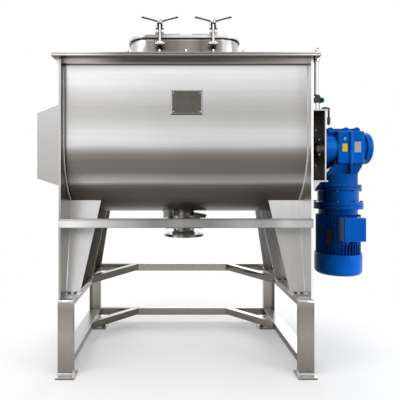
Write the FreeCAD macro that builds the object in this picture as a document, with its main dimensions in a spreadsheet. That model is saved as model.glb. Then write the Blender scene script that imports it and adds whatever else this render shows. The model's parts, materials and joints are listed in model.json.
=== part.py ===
import FreeCAD, Part
import math
import os
import re
import Sketcher

# Ribbon blender: a U-shaped trough on a folded-channel stand, a double-ribbon rotor driven by a
# helical-bevel geared motor, a clamped charging hatch on top and a flanged outlet with a
# butterfly valve underneath. X runs along the rotor (drive at +X), Y from front to rear, Z up.
# Formulas are written about the trough's centre; every piece is then moved by SHIFT_X, so that
# the origin lies on the floor under the middle of the whole machine.

SIZES = {
    # trough
    "trough_length": 1324, "shell_radius": 389, "shell_wall": 4, "axis_height": 1240,
    "wall_height": 441, "end_wall": 12, "half_depth": 447,
    # rim flange and cover
    "rim_thickness": 10, "rim_overhang_ends": 30, "rim_overhang_front": 40, "gasket_thickness": 3,
    "cover_thickness": 6, "rim_bar_height": 14, "rim_bar_depth": 8,
    # stand
    "leg_width": 80, "leg_depth": 42, "channel_wall": 5, "leg_top": 403, "leg_outset": 5,
    "leg_bend": 20, "foot_thickness": 10, "foot_inset": 18, "foot_toe": 50, "foot_depth": 98,
    "anchor_radius": 7, "anchor_spacing": 58, "anchor_edge": 25, "bottom_rail_top": 99,
    "rail_height": 40, "bar_height": 50, "bar_wall": 4,
    "brace_width": 40, "brace_height": 44, "brace_run": 253,
    "top_bar_rise": 29, "bottom_bar_rise": 9, "rear_foot_inset": 61, "rear_foot_front": 264,
    "jack_inset": 18, "jack_nut_radius": 15, "jack_stud_radius": 8,
    "beam_drop": 39, "beam_height": 48, "beam_depth": 40, "beam_wall": 3,
    # pedestals between stand and trough
    "pedestal_wall": 6, "pedestal_top_width": 181, "pedestal_bottom_width": 78,
    "pedestal_top_y": 221, "pedestal_bottom_y": 337, "pedestal_base_thickness": 10,
    "pedestal_base_depth": 90, "pedestal_base_width": 80, "pedestal_bolt_spacing": 34,
    "pedestal_overrun": 30,
    # bolt heads
    "bolt_head": 8, "seat_bolt_radius": 9, "small_bolt_radius": 7, "seal_bolt_radius": 10,
    "flange_bolt_radius": 11, "motor_bolt_radius": 10,
    # outlet and butterfly valve
    "outlet_bore": 62.5, "outlet_tube_wall": 4, "stub_flange_radius": 105, "stub_height": 27,
    "lug_half_depth": 60, "lug_root": 5, "lug_reach": 68, "saddle_reach": 63, "saddle_fold": 12,
    "stub_overrun": 20,
    "stub_flange_thickness": 15, "valve_thickness": 46, "valve_body_radius": 105,
    "disc_thickness": 10, "disc_clearance": 1, "stem_radius": 8, "running_gap": 0.05,
    "spool_flange_radius": 125, "spool_flange_thickness": 17, "spool_length": 71,
    "outlet_pcd": 210, "outlet_hole_radius": 9, "lever_length": 200, "lever_thickness": 8,
    "lever_standoff": 138, "lever_width": 18, "grip_radius": 12,
    # hatch
    "neck_length": 636, "neck_width": 510, "neck_corner": 98, "neck_wall": 4, "neck_height": 160,
    "lid_skirt_gap": 9, "lid_wall": 3, "lid_skirt": 19, "lid_raise": 12, "lid_ledge": 28,
    "hinge_reach": 42, "hinge_spread": 150, "hinge_pin_radius": 6, "hinge_eye_radius": 14,
    "hinge_arm_width": 24, "ear_wall": 8, "ear_gap": 1,
    # fittings on the deck and the lid
    "dome_nut_radius": 10, "dome_nut_height": 8, "deck_nut_gap": 42, "deck_nut_offset": 5,
    "deck_nut_spread": 155, "side_nut_gap": 27, "side_nut_spread": 165, "handle_radius": 5,
    "handle_lift": 12, "handle_half_length": 52, "handle_setback": 58, "handle_offset": 8,
    "handle_spread": 88, "eye_radius": 9, "eye_wire": 4, "eye_lift": 19, "eye_inset": 18,
    # swing bolts
    "clamp_spread": 151, "clamp_offset": 8, "clamp_reach": 35, "clamp_pivot_above_deck": 109,
    "clamp_rod_radius": 8, "clamp_eye_radius": 16, "clamp_eye_width": 17, "clamp_seat": 77,
    "seat_gap": 0.3, "nut_radius": 18.5, "nut_height": 40, "boss_radius": 13, "boss_height": 36,
    "arm_radius": 6.5, "arm_reach": 99, "arm_rise": 31, "fork_half_width": 26, "fork_slot": 18,
    # rotor
    "shaft_radius": 45, "journal_radius": 40, "drive_end_radius": 35, "ribbon_end_gap": 22,
    "outer_ribbon_radius": 380, "outer_ribbon_width": 38, "inner_ribbon_radius": 190,
    "inner_ribbon_width": 40, "ribbon_thickness": 9, "spoke_radius": 14, "weld_depth": 4,
    # shaft seals and tail bearing
    "seal_flange_radius": 105, "seal_flange_thickness": 12, "seal_body_radius": 80,
    "seal_length": 62, "packing_radius": 54, "bearing_length": 44, "bearing_body_radius": 66,
    "bearing_ring_radius": 55, "tail_end": 140,
    # tail guard
    "guard_base": 504, "guard_tip": 387, "guard_length": 195, "guard_wall": 3,
    "guard_screw_radius": 6, "guard_screw_height": 4, "guard_screw_inset": 16,
    # drive bracket
    "bracket_size": 426, "bracket_reach": 165, "bracket_face": 155, "bracket_wall": 9,
    "bracket_gusset_drop": 150, "bracket_gusset_wall": 8,
    # seal-air line on the drive bracket
    "standpipe_radius": 11, "standpipe_collar": 16, "standpipe_inset": 22, "elbow_lift": 40,
    "manifold_reach": 112, "manifold_inset": 24, "manifold_lift": 42, "manifold_height": 26,
    "manifold_width": 64, "air_cap_radius": 20, "air_cap_height": 18, "air_pipe_radius": 6,
    "air_feed_radius": 4.5, "air_block_height": 14, "air_block_inset": 2, "air_drop": 90,
    "air_sleeve_radius": 9.5, "air_bend_radius": 40,
    # gear unit
    "block_start": 265, "block_length": 167, "block_depth": 200, "block_height": 202,
    "casting_wall": 9, "gear_flange_radius": 132, "gear_flange_thickness": 20,
    "gear_neck_radius": 112, "hollow_shaft_radius": 50, "gear_bearing_radius": 74,
    "gear_bearing_width": 20, "end_cover_radius": 101, "top_pad_height": 18,
    "top_lug_radius": 20, "end_cover_length": 62,
    "motor_axis": 306, "column_radius": 130, "column_drop": 165,
    "input_flange_radius": 140, "input_drop": 245,
    "input_flange_thickness": 18, "adapter_neck_radius": 124, "adapter_length": 113,
    "motor_flange_radius": 150, "motor_flange_thickness": 22,
    # motor
    "motor_barrel_radius": 112, "fin_radius": 134, "fin_width": 4, "motor_length": 299,
    "stator_inner": 75, "rotor_core_radius": 74, "motor_shaft_radius": 19, "cowl_radius": 143,
    "cowl_length": 131, "motor_neck_height": 36, "motor_neck_radius": 118, "cowl_wall": 3,
    "fan_radius": 118, "fan_hub_wall": 12, "fan_hub_rise": 48, "fan_hub_gap": 20, "fan_blade_wall": 4,
    "fan_blade_root": 8, "fan_blade_rise": 54, "fan_blade_gap": 24, "cowl_corner": 28, "vent_radius": 8,
    "box_width": 128, "box_height": 137,
    "box_front": 255, "box_depth": 118, "box_wall": 6, "box_rise": 167, "box_lid": 26,
    "rating_plate_width": 38, "rating_plate_height": 90, "rating_plate_rise": 67,
    # nameplate
    "plate_width": 175, "plate_height": 133, "plate_drop": 226, "plate_border": 9,
}

# heights that follow from the sizes above
HEIGHTS = {
    "wall_top": "axis_height + wall_height",
    "stub_flange_top": "axis_height - shell_radius - shell_wall - stub_height",
    "beam_bottom": "stub_flange_top - beam_drop",
    "outlet_face": "stub_flange_top - stub_flange_thickness - valve_thickness - spool_length",
    "column_top": "axis_height - column_drop",
    "input_face": "axis_height - input_drop",
    "motor_face": "input_face - adapter_length",
    "motor_bottom": "motor_face - motor_length",
    "cowl_bottom": "motor_bottom - cowl_length",
    "rating_plate_bottom": "motor_bottom + rating_plate_rise",
    "plate_centre_height": "wall_top - plate_drop",
}

FIN_COUNT = 40
FAN_BLADES = 7
TOP_LUG_SHARES = (-0.2, 0.37, 0.77)
VENT_COUNTS = (8, 14, 20)
VENT_SHARES = (0.266, 0.461, 0.657)
RATING_PLATE_ANGLE = 42
SPOKE_STEPS = 8
RIBBON_TURNS = 2
HEX_SIDES = 6

DECK = "(wall_top + rim_thickness + gasket_thickness + cover_thickness)"
END_OUT = "(trough_length/2 + end_wall)"
SHELL_OUT = "(shell_radius + shell_wall)"
LEG_OUT = f"({END_OUT} + leg_outset)"
LEG_IN = f"({LEG_OUT} - leg_width)"
RAIL_END = "(half_depth - leg_depth)"
PEDESTAL_FOOT = "(leg_top + pedestal_base_thickness)"
MOTOR_X = f"({END_OUT} + motor_axis)"
BLOCK_X = f"({END_OUT} + block_start)"
BLOCK_END = f"({BLOCK_X} + block_length)"
COVER_END = f"({BLOCK_END} + end_cover_length)"
TAIL_END = f"({END_OUT} + guard_length)"
RIBBON_LENGTH = "(trough_length - 2*ribbon_end_gap)"
BOX_CENTRE = "(motor_bottom + box_rise)"
SHIFT_X = f"(({TAIL_END} - {COVER_END})/2)"
STUB_FACE = "(stub_flange_top - stub_flange_thickness)"
VALVE_FACE = f"({STUB_FACE} - valve_thickness)"
VALVE_AXIS = f"({STUB_FACE} - valve_thickness/2)"
LID_UNDER = f"({DECK} + neck_height + gasket_thickness*2)"
LID_TOP = f"({LID_UNDER} + lid_wall)"
HINGE_Z = f"({LID_TOP} + 3)"
CLAMP_Z = f"({DECK} + clamp_pivot_above_deck)"
CLAMP_LINE = "(-neck_width/2 - clamp_reach)"
HINGE_LINE = "(neck_width/2 + hinge_reach)"
BRACKET_TOP = "(axis_height + bracket_size/2)"
BRACKET_LOW = "(axis_height - bracket_size/2)"

AXIS_TURNS = {
    "Z": FreeCAD.Rotation(),
    "X": FreeCAD.Rotation(FreeCAD.Vector(0, 1, 0), 90),
    "Y": FreeCAD.Rotation(FreeCAD.Vector(1, 0, 0), -90),
}
PLANES = {"XY": "XY_Plane", "XZ": "XZ_Plane", "YZ": "YZ_Plane"}
FORMULA_WORDS = {"sqrt", "sin", "cos", "tan"}

TOUCH = 0.01

doc = FreeCAD.newDocument("RibbonBlender")
sheet = doc.addObject("Spreadsheet::Sheet", "Sizes")
cells = {**SIZES, **{alias: f"={formula}" for alias, formula in HEIGHTS.items()}}
for row, (alias, value) in enumerate(cells.items(), start=1):
    sheet.set(f"A{row}", alias)
    sheet.setAlias(f"B{row}", alias)
    sheet.set(f"B{row}", str(value))
doc.recompute()
parts = []
families = {}


# ---------------------------------------------------------------- helpers

def linked(formula):
    """The formula with each size name pointing at its cell of the sheet."""
    def cell(match):
        word = match.group(0)
        if word in FORMULA_WORDS:
            return word
        if word not in cells:
            raise KeyError(word)
        return f"Sizes.{word}"
    return re.sub(r"[a-z][a-z_]*[a-z]", cell, str(formula))


def number(formula):
    """The formula's value, from the sheet, for the few shapes made in code."""
    return float(sheet.evalExpression(linked(formula)))


def bind(item, values):
    for name, formula in values.items():
        item.setExpression(name, linked(formula))


def seat(item, x=0, y=0, z=0, turn=None):
    """Places an item by formulas, turned by a fixed rotation."""
    if turn is not None:
        item.Placement = FreeCAD.Placement(FreeCAD.Vector(), turn)
    bind(item, {"Placement.Base.x": x, "Placement.Base.y": y, "Placement.Base.z": z})
    return item


def box(x, y, z):
    """A block between two formulas on each axis."""
    item = doc.addObject("Part::Box", "Block")
    bind(item, {"Length": f"({x[1]}) - ({x[0]})", "Width": f"({y[1]}) - ({y[0]})",
                "Height": f"({z[1]}) - ({z[0]})"})
    return seat(item, x[0], y[0], z[0])


def along(axis, start, across):
    """The point at start on an axis whose centre on the other two axes is across."""
    first, second = across
    return {"X": (start, first, second), "Y": (first, start, second), "Z": (first, second, start)}[axis]


def rod(axis, radius, start, end, across=(0, 0)):
    """A cylinder along an axis from start to end; across is its centre on the other two axes."""
    item = doc.addObject("Part::Cylinder", "Rod")
    bind(item, {"Radius": radius, "Height": f"({end}) - ({start})"})
    return seat(item, *along(axis, start, across), turn=AXIS_TURNS[axis])


def cone(axis, radius, end_radius, start, end, across=(0, 0)):
    item = doc.addObject("Part::Cone", "Taper")
    bind(item, {"Radius1": radius, "Radius2": end_radius, "Height": f"({end}) - ({start})"})
    return seat(item, *along(axis, start, across), turn=AXIS_TURNS[axis])


def hexagon(axis, radius, start, end, across=(0, 0)):
    item = doc.addObject("Part::Prism", "Hexagon")
    item.Polygon = HEX_SIDES
    bind(item, {"Circumradius": radius, "Height": f"({end}) - ({start})"})
    return seat(item, *along(axis, start, across), turn=AXIS_TURNS[axis])


def ball(radius, x, y, z):
    item = doc.addObject("Part::Sphere", "Ball")
    bind(item, {"Radius": radius})
    return seat(item, x, y, z)


def union(*items):
    if len(items) == 1:
        return items[0]
    item = doc.addObject("Part::MultiFuse", "Union")
    item.Shapes = list(items)
    return item


def less(base, *tools):
    item = doc.addObject("Part::Cut", "Difference")
    item.Base = base
    item.Tool = union(*tools)
    return item


def overlap(base, tool):
    item = doc.addObject("Part::Common", "Overlap")
    item.Base = base
    item.Tool = tool
    return item


def group(*items):
    item = doc.addObject("Part::Compound", "Group")
    item.Links = list(items)
    return item


def mirror(source, normal):
    item = doc.addObject("Part::Mirroring", "Mirror")
    item.Source = source
    item.Normal = normal
    return item


LEFT_RIGHT = FreeCAD.Vector(1, 0, 0)
FRONT_REAR = FreeCAD.Vector(0, 1, 0)


def both_sides(make):
    """A piece and its mirror image across the trough's middle."""
    return [make(), mirror(make(), LEFT_RIGHT)]


def origin_plane(body, role):
    return next(item for item in body.Origin.OriginFeatures if item.Role == role)


def sketch_outline(body, plane, points):
    """A closed sketch whose corners lie at pairs of formulas on one of the body's planes."""
    sketch = body.newObject("Sketcher::SketchObject", "Outline")
    sketch.AttachmentSupport = [(origin_plane(body, PLANES[plane]), "")]
    sketch.MapMode = "FlatFace"
    corners = [FreeCAD.Vector(number(u), number(v), 0) for u, v in points]
    count = len(corners)
    for k in range(count):
        sketch.addGeometry(Part.LineSegment(corners[k], corners[(k + 1) % count]))
    for k in range(count):
        sketch.addConstraint(Sketcher.Constraint("Coincident", k, 2, (k + 1) % count, 1))
    for k, (u, v) in enumerate(points):
        for kind, formula, value in (("DistanceX", u, corners[k].x), ("DistanceY", v, corners[k].y)):
            index = sketch.addConstraint(Sketcher.Constraint(kind, k, 1, value))
            sketch.setExpression(f"Constraints[{index}]", linked(formula))
    return sketch


def prism(plane, points, depth, middle=0):
    """A sketched outline padded to a depth about its plane, moved off it by middle."""
    body = doc.addObject("PartDesign::Body", "Plate")
    sketch = sketch_outline(body, plane, points)
    pad = body.newObject("PartDesign::Pad", "Pad")
    pad.Profile = sketch
    pad.Midplane = True
    bind(pad, {"Length": depth})
    normal = {"XY": "z", "XZ": "y", "YZ": "x"}[plane]
    return seat(body, **{normal: middle})


def rounded_block(length, width, corner, z, x="0", y="0"):
    """A centred block with rounded upright corners between two heights."""
    body = doc.addObject("PartDesign::Body", "RoundedBlock")
    half_x = f"({length})/2"
    half_y = f"({width})/2"
    points = [(f"-{half_x}", f"-{half_y}"), (half_x, f"-{half_y}"), (half_x, half_y),
              (f"-{half_x}", half_y)]
    sketch = sketch_outline(body, "XY", points)
    pad = body.newObject("PartDesign::Pad", "Pad")
    pad.Profile = sketch
    bind(pad, {"Length": f"({z[1]}) - ({z[0]})"})
    doc.recompute()
    upright = [f"Edge{k}" for k, edge in enumerate(pad.Shape.Edges, start=1)
               if abs(edge.tangentAt(edge.FirstParameter).z) > 0.99]
    fillet = body.newObject("PartDesign::Fillet", "Corners")
    fillet.Base = (pad, upright)
    bind(fillet, {"Radius": corner})
    return seat(body, x, y, z[0])


def round_edges(base, radius, wanted):
    """Rounds the edges that the test picks, by a radius of the sheet."""
    doc.recompute()
    size = number(radius)
    item = doc.addObject("Part::Fillet", "Rounded")
    item.Base = base
    item.Edges = [(k, size, size) for k, edge in enumerate(base.Shape.Edges, start=1) if wanted(edge)]
    return item


def ring_points(radius, count, start=0.0):
    """Formula pairs of points spaced evenly round a circle."""
    turns = [math.radians(start + 360 * k / count) for k in range(count)]
    return [(f"({radius})*{math.cos(t):.9f}", f"({radius})*{math.sin(t):.9f}") for t in turns]


def ring(axis, outer, inner, start, end, across=(0, 0)):
    return less(rod(axis, outer, start, end, across),
                rod(axis, inner, f"{start} - 1", f"{end} + 1", across))


def keep(name, item):
    """Registers a finished sub-part under its node name and shifts it to the machine's origin."""
    item.Label = name
    bind(item, {"Placement.Base.x": SHIFT_X})
    parts.append(item)


def gather(name, *items):
    """Adds separate solids to a family that shares one node."""
    families.setdefault(name, []).extend(items)


# ---------------------------------------------------------------- trough and cover

def trough_shell():
    """Half-round bottom and upright walls of one sheet, with the outlet hole at its lowest point."""
    def solid(radius, top, reach):
        return union(rod("X", radius, f"-trough_length/2 - {reach}", f"trough_length/2 + {reach}",
                         (0, "axis_height")),
                     box((f"-trough_length/2 - {reach}", f"trough_length/2 + {reach}"),
                         (f"-{radius}", radius), ("axis_height", top)))
    hole = rod("Z", "outlet_bore", "axis_height - shell_radius - 50", "axis_height - shell_radius + 50")
    keep("trough_shell", less(solid(SHELL_OUT, "wall_top", 0), solid("shell_radius", "wall_top + 1", 1),
                              hole))


def end_plate(name, side):
    """Rectangular end wall, notched for the front beam and bored for the shaft."""
    inner = "trough_length/2"
    span = (inner, END_OUT) if side > 0 else (f"-{END_OUT}", f"-{inner}")
    wide = (f"{span[0]} - 1", f"{span[1]} + 1")
    beam = ("beam_bottom", "beam_bottom + beam_height")
    plate = less(box(span, ("-half_depth", "half_depth"), ("leg_top", "wall_top")),
                 box(wide, ("-half_depth - 1", "-half_depth + beam_depth"), beam),
                 rod("X", "packing_radius", *wide, (0, "axis_height")))
    keep(name, plate)


def rim_frame(outer_x, outer_y, inner_x, inner_y, z):
    return less(box((f"-({outer_x})", outer_x), (f"-({outer_y})", outer_y), z),
                box((f"-({inner_x})", inner_x), (f"-({inner_y})", inner_y), (f"{z[0]} - 1", f"{z[1]} + 1")))


def rim_and_cover():
    over_x = f"{END_OUT} + rim_overhang_ends"
    over_y = "half_depth + rim_overhang_front"
    rim_top = "wall_top + rim_thickness"
    gather("rim_flange", rim_frame(over_x, over_y, "trough_length/2", "shell_radius",
                                   ("wall_top", rim_top)))
    keep("cover_gasket", rim_frame(f"{over_x} - rim_overhang_ends/2", f"{over_y} - rim_overhang_front/2",
                                   "trough_length/2 + 6", "shell_radius + 12",
                                   (rim_top, f"{rim_top} + gasket_thickness")))
    bar = ("wall_top - rim_bar_height", "wall_top")
    front = box(("-trough_length/2", "trough_length/2"),
                (f"-{SHELL_OUT} - rim_bar_depth", f"-{SHELL_OUT}"), bar)
    rear = box(("-trough_length/2", "trough_length/2"), (SHELL_OUT, f"{SHELL_OUT} + rim_bar_depth"), bar)
    gather("rim_flange", front, rear)
    sheet_under = f"{rim_top} + gasket_thickness"
    hole = rounded_block("neck_length - 2*neck_wall", "neck_width - 2*neck_wall", "neck_corner - neck_wall",
                         (f"{sheet_under} - 1", f"{DECK} + 1"))
    keep("top_cover", less(box((f"-({over_x})", over_x), (f"-({over_y})", over_y), (sheet_under, DECK)),
                           hole))


def deck_nuts():
    """Domed nuts on the studs that hold the hatch neck to the cover."""
    across = ("deck_nut_offset - deck_nut_spread", "deck_nut_offset", "deck_nut_offset + deck_nut_spread")
    front = [(x, "-neck_width/2 - deck_nut_gap") for x in across]
    rear = [(x, "neck_width/2 + deck_nut_gap") for x in across]
    sides = [(f"{sign}(neck_length/2 + side_nut_gap)", f"{turn}side_nut_spread") for sign in ("-", "")
             for turn in ("-", "")]
    nuts = []
    for x, y in front + rear + sides:
        shoulder = f"{DECK} + dome_nut_height"
        skirt = hexagon("Z", "dome_nut_radius*1.1", DECK, shoulder, (x, y))
        cap = overlap(ball("dome_nut_radius*0.9", x, y, shoulder),
                      rod("Z", "dome_nut_radius", shoulder, f"{shoulder} + 2*dome_nut_radius", (x, y)))
        nuts.append(union(skirt, cap))
    gather("deck_fittings", *nuts)


# ---------------------------------------------------------------- stand

def leg():
    """Front left leg: a folded channel, web to the front, its top bent back into the side rail."""
    x = (f"-{LEG_OUT}", f"-{LEG_IN}")
    outer = box(x, ("-half_depth", f"-{RAIL_END}"), ("foot_thickness", "leg_top"))
    bend = round_edges(outer, "leg_bend", lambda edge: is_top_front_edge(edge, outer))
    inside = box((f"{x[0]} + channel_wall", f"{x[1]} - channel_wall"),
                 ("-half_depth + channel_wall", f"-{RAIL_END} + 1"),
                 ("foot_thickness - 1", "leg_top - channel_wall"))
    inner = round_edges(inside, "leg_bend - channel_wall", lambda edge: is_top_front_edge(edge, inside))
    return less(bend, inner)


def is_top_front_edge(edge, block):
    bounds = block.Shape.BoundBox
    centre = edge.CenterOfMass
    return abs(centre.y - bounds.YMin) < 0.01 and abs(centre.z - bounds.ZMax) < 0.01


def side_rail(top):
    """Left rail: channel with its web up, butted between the front and rear legs."""
    x = (f"-{LEG_OUT}", f"-{LEG_IN}")
    y = (f"-{RAIL_END}", RAIL_END)
    return less(box(x, y, (f"{top} - rail_height", top)),
                box((f"{x[0]} + channel_wall", f"{x[1]} - channel_wall"), (f"{y[0]} - 1", f"{y[1]} + 1"),
                    (f"{top} - rail_height - 1", f"{top} - channel_wall")))


def rear_bar(top):
    """Rectangular tube between the rear legs."""
    x = (f"-{LEG_IN}", LEG_IN)
    y = (RAIL_END, "half_depth")
    z = (f"{top} - bar_height", top)
    hollow = box((f"{x[0]} - 1", f"{x[1]} + 1"), (f"{y[0]} + bar_wall", f"{y[1]} - bar_wall"),
                 (f"{z[0]} + bar_wall", f"{z[1]} - bar_wall"))
    return less(box(x, y, z), hollow)


def corner_brace(top, rise):
    """Left brace, 45 degrees in plan, rising from the side rail's inner face to the rear bar's front."""
    run = number("brace_run")
    climb = math.degrees(math.atan2(number(rise), run * math.sqrt(2)))
    turn = (FreeCAD.Rotation(FreeCAD.Vector(0, 0, 1), 45)
            * FreeCAD.Rotation(FreeCAD.Vector(0, 1, 0), -climb))
    sizes = ("brace_run*2", "brace_width", "brace_height")
    middle = (f"-{LEG_IN} + brace_run/2", f"{RAIL_END} - brace_run/2",
              f"{top} + ({rise})/2 - brace_height/2")
    edges = [turn.multVec(FreeCAD.Vector(*(float(k == n) for k in range(3)))) for n in range(3)]
    corner = [middle[k] + "".join(f" - ({edge[k]:.9f})*{size}/2" for edge, size in zip(edges, sizes))
              for k in range(3)]
    bar = doc.addObject("Part::Box", "Brace")
    bind(bar, dict(zip(("Length", "Width", "Height"), sizes)))
    seat(bar, *corner, turn)
    beyond_rail = box((f"-{LEG_OUT} - brace_run", f"-{LEG_IN}"), ("-half_depth", "half_depth + brace_run"),
                      (0, DECK))
    beyond_bar = box((f"-{LEG_OUT}", "half_depth"), (RAIL_END, "half_depth + brace_run"), (0, DECK))
    return less(bar, beyond_rail, beyond_bar)


def stand():
    gather("front_legs", *both_sides(leg))
    gather("rear_legs", *both_sides(lambda: mirror(leg(), FRONT_REAR)))
    for top, rise in (("leg_top", "top_bar_rise"), ("bottom_rail_top", "bottom_bar_rise")):
        gather("side_rails", *both_sides(lambda: side_rail(top)))
        gather("rear_bars", rear_bar(f"({top} + {rise})"))
        gather("corner_braces", *both_sides(lambda: corner_brace(top, rise)))


def foot(inset, y, toe_y):
    """Left foot plate with two anchor holes along its toe."""
    middle = f"(-{LEG_OUT} + leg_width/2 + foot_inset/2)"
    holes = [rod("Z", "anchor_radius", -1, "foot_thickness + 1",
                 (f"{middle} {sign} anchor_spacing/2", toe_y)) for sign in "+-"]
    return less(box((f"-{LEG_OUT}", f"-{LEG_IN} + {inset}"), y, (0, "foot_thickness")), *holes)


def jack_bolt():
    """Levelling screw and its nut on the left rear foot's inner corner."""
    spot = (f"-{LEG_IN} + rear_foot_inset - jack_inset", "rear_foot_front + jack_inset")
    return union(hexagon("Z", "jack_nut_radius", "foot_thickness", "foot_thickness*2.4", spot),
                 rod("Z", "jack_stud_radius", "foot_thickness*2.4", "foot_thickness*3.4", spot))


def feet():
    front = ("-half_depth - foot_toe", "-half_depth - foot_toe + foot_depth")
    rear = ("rear_foot_front", "half_depth + foot_toe")
    gather("foot_plates", *both_sides(lambda: foot("foot_inset", front, f"{front[0]} + anchor_edge")))
    gather("foot_plates", *both_sides(lambda: foot("rear_foot_inset", rear, f"{rear[1]} - anchor_edge")))
    gather("fasteners", *both_sides(jack_bolt))


def cross_beam():
    """Square tube let into both end plates, flush with their front edges."""
    x = (f"-{END_OUT}", END_OUT)
    y = ("-half_depth", "-half_depth + beam_depth")
    z = ("beam_bottom", "beam_bottom + beam_height")
    keep("cross_beam", less(box(x, y, z), box((f"{x[0]} - 1", f"{x[1]} + 1"),
                                              (f"{y[0]} + beam_wall", f"{y[1]} - beam_wall"),
                                              (f"{z[0]} + beam_wall", f"{z[1]} - beam_wall"))))


def pedestal(top_y, bottom_y):
    """Left tapered plate from its base up to the shell, which it is trimmed to."""
    x_wall = "-trough_length/2"
    high = f"(axis_height - sqrt({SHELL_OUT}*{SHELL_OUT} - ({top_y})*({top_y})) + pedestal_overrun)"
    slope = f"({top_y} - ({bottom_y}))"
    face = prism("XZ", [(x_wall, PEDESTAL_FOOT), (f"{x_wall} + pedestal_bottom_width", PEDESTAL_FOOT),
                        (f"{x_wall} + pedestal_top_width", high), (x_wall, high)], "2*half_depth")
    lean = prism("YZ", [(f"{bottom_y} - pedestal_wall/2", PEDESTAL_FOOT),
                        (f"{bottom_y} + pedestal_wall/2", PEDESTAL_FOOT),
                        (f"{bottom_y} + {slope} + pedestal_wall/2", high),
                        (f"{bottom_y} + {slope} - pedestal_wall/2", high)],
                 "2*trough_length")
    shell = rod("X", SHELL_OUT, "-trough_length", 0, (0, "axis_height"))
    return less(overlap(face, lean), shell)


def pedestals():
    gather("pedestals", *both_sides(lambda: pedestal("-pedestal_top_y", "-pedestal_bottom_y")))
    gather("pedestals", *both_sides(lambda: pedestal("0", "0")))
    gather("pedestals", *both_sides(lambda: pedestal("pedestal_top_y", "pedestal_bottom_y")))
    seats = ["-pedestal_bottom_y", "0", "pedestal_bottom_y"]
    x_wall = "-trough_length/2"
    bolt_x = f"{x_wall} + pedestal_bottom_width/2"

    for y in seats:
        gather("pedestals", *both_sides(lambda: box((x_wall, f"{x_wall} + pedestal_base_width"),
                                                    (f"{y} - pedestal_base_depth/2",
                                                     f"{y} + pedestal_base_depth/2"),
                                                    ("leg_top", PEDESTAL_FOOT))))
        for sign in "+-":
            spot = (f"{bolt_x} {sign} pedestal_bolt_spacing/2", f"{y} - pedestal_base_depth/4")
            gather("fasteners", *both_sides(lambda: hexagon("Z", "seat_bolt_radius", PEDESTAL_FOOT,
                                                            f"{PEDESTAL_FOOT} + bolt_head", spot)))


# ---------------------------------------------------------------- outlet and valve

def outlet():
    tube = "outlet_bore + outlet_tube_wall"
    shell = rod("X", SHELL_OUT, "-trough_length/2", "trough_length/2", (0, "axis_height"))
    top = f"(axis_height - {SHELL_OUT} + stub_overrun)"
    saddle = prism("XZ", [(f"-({tube}) + lug_root", STUB_FACE), (f"-({tube}) + lug_root", top),
                          (f"-({tube}) - saddle_reach*1.18", top),
                          (f"-({tube}) - saddle_reach*0.95", "stub_flange_top + saddle_fold"),
                          (f"-({tube}) - saddle_reach", STUB_FACE)], "2*lug_half_depth")
    lug = prism("XZ", [(f"{tube} - lug_root", STUB_FACE), (f"{tube} + lug_reach", STUB_FACE),
                       (f"{tube} + lug_reach*1.1", "stub_flange_top + saddle_fold/2"),
                       (f"{tube} - lug_root", "stub_flange_top + saddle_fold*1.7")], "2*lug_half_depth")
    flange = rod("Z", "stub_flange_radius", STUB_FACE, "stub_flange_top")
    stub = less(union(rod("Z", tube, STUB_FACE, top), flange, saddle, lug),
                rod("Z", "outlet_bore", f"{STUB_FACE} - 1", f"{top} + 1"), shell)
    keep("outlet_stub", stub)
    boss = rod("Y", 20, "-lever_standoff + 12", 0, (0, VALVE_AXIS))
    tail = rod("Y", 16, 0, "valve_body_radius + 8", (0, VALVE_AXIS))
    body = less(union(rod("Z", "valve_body_radius", VALVE_FACE, STUB_FACE), boss, tail),
                rod("Z", "outlet_bore", f"{VALVE_FACE} - 1", f"{STUB_FACE} + 1"),
                rod("Y", "stem_radius + running_gap", "-lever_standoff - 1", "valve_body_radius",
                    (0, VALVE_AXIS)))
    keep("valve_body", body)
    disc_radius = "outlet_bore - disc_clearance"
    disc = overlap(rod("Z", disc_radius, f"{VALVE_AXIS} - disc_thickness/2",
                       f"{VALVE_AXIS} + disc_thickness/2"), ball(disc_radius, 0, 0, VALVE_AXIS))
    stem = rod("Y", "stem_radius", "-lever_standoff - 12", "valve_body_radius - 2", (0, VALVE_AXIS))
    keep("valve_disc", union(disc, stem, rod("Y", "disc_thickness", f"-({disc_radius})*0.8",
                                             f"({disc_radius})*0.8", (0, VALVE_AXIS))))
    front = "(-lever_standoff - lever_thickness)"
    hub = rod("Y", "stem_radius*2", f"{front} - 2", "-lever_standoff", (0, VALVE_AXIS))
    arm = box((0, "lever_length"), (front, "-lever_standoff"),
              (f"{VALVE_AXIS} - lever_width/2", f"{VALVE_AXIS} + lever_width/2"))
    grip = rod("X", "grip_radius", "lever_length - 90", "lever_length + 10",
               ("-lever_standoff - lever_thickness/2", VALVE_AXIS))
    stem_hole = rod("Y", "stem_radius", f"{front} - stem_radius*2", "-lever_standoff + 1", (0, VALVE_AXIS))
    keep("valve_lever", less(union(hub, arm, grip), stem_hole))
    flange_top = "outlet_face + spool_flange_thickness"
    holes = [rod("Z", "outlet_hole_radius", "outlet_face - 1", f"{flange_top} + 1", spot)
             for spot in ring_points("outlet_pcd/2", 8, 22.5)]
    upper = rod("Z", "spool_flange_radius", f"{VALVE_FACE} - 15", VALVE_FACE)
    hub_cone = cone("Z", f"{tube} + 14", tube, flange_top, f"{flange_top} + 14")
    spool = less(union(rod("Z", tube, "outlet_face", VALVE_FACE), upper, hub_cone,
                       rod("Z", "spool_flange_radius", "outlet_face", flange_top)),
                 rod("Z", "outlet_bore", "outlet_face - 1", f"{VALVE_FACE} + 1"), *holes)
    keep("outlet_spool", spool)
    spool_under = f"({VALVE_FACE} - 15)"
    for spot in ring_points("spool_flange_radius - 14", 8, 22.5):
        gather("fasteners", hexagon("Z", "flange_bolt_radius", f"{spool_under} - bolt_head", spool_under,
                                    spot))


# ---------------------------------------------------------------- hatch

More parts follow.
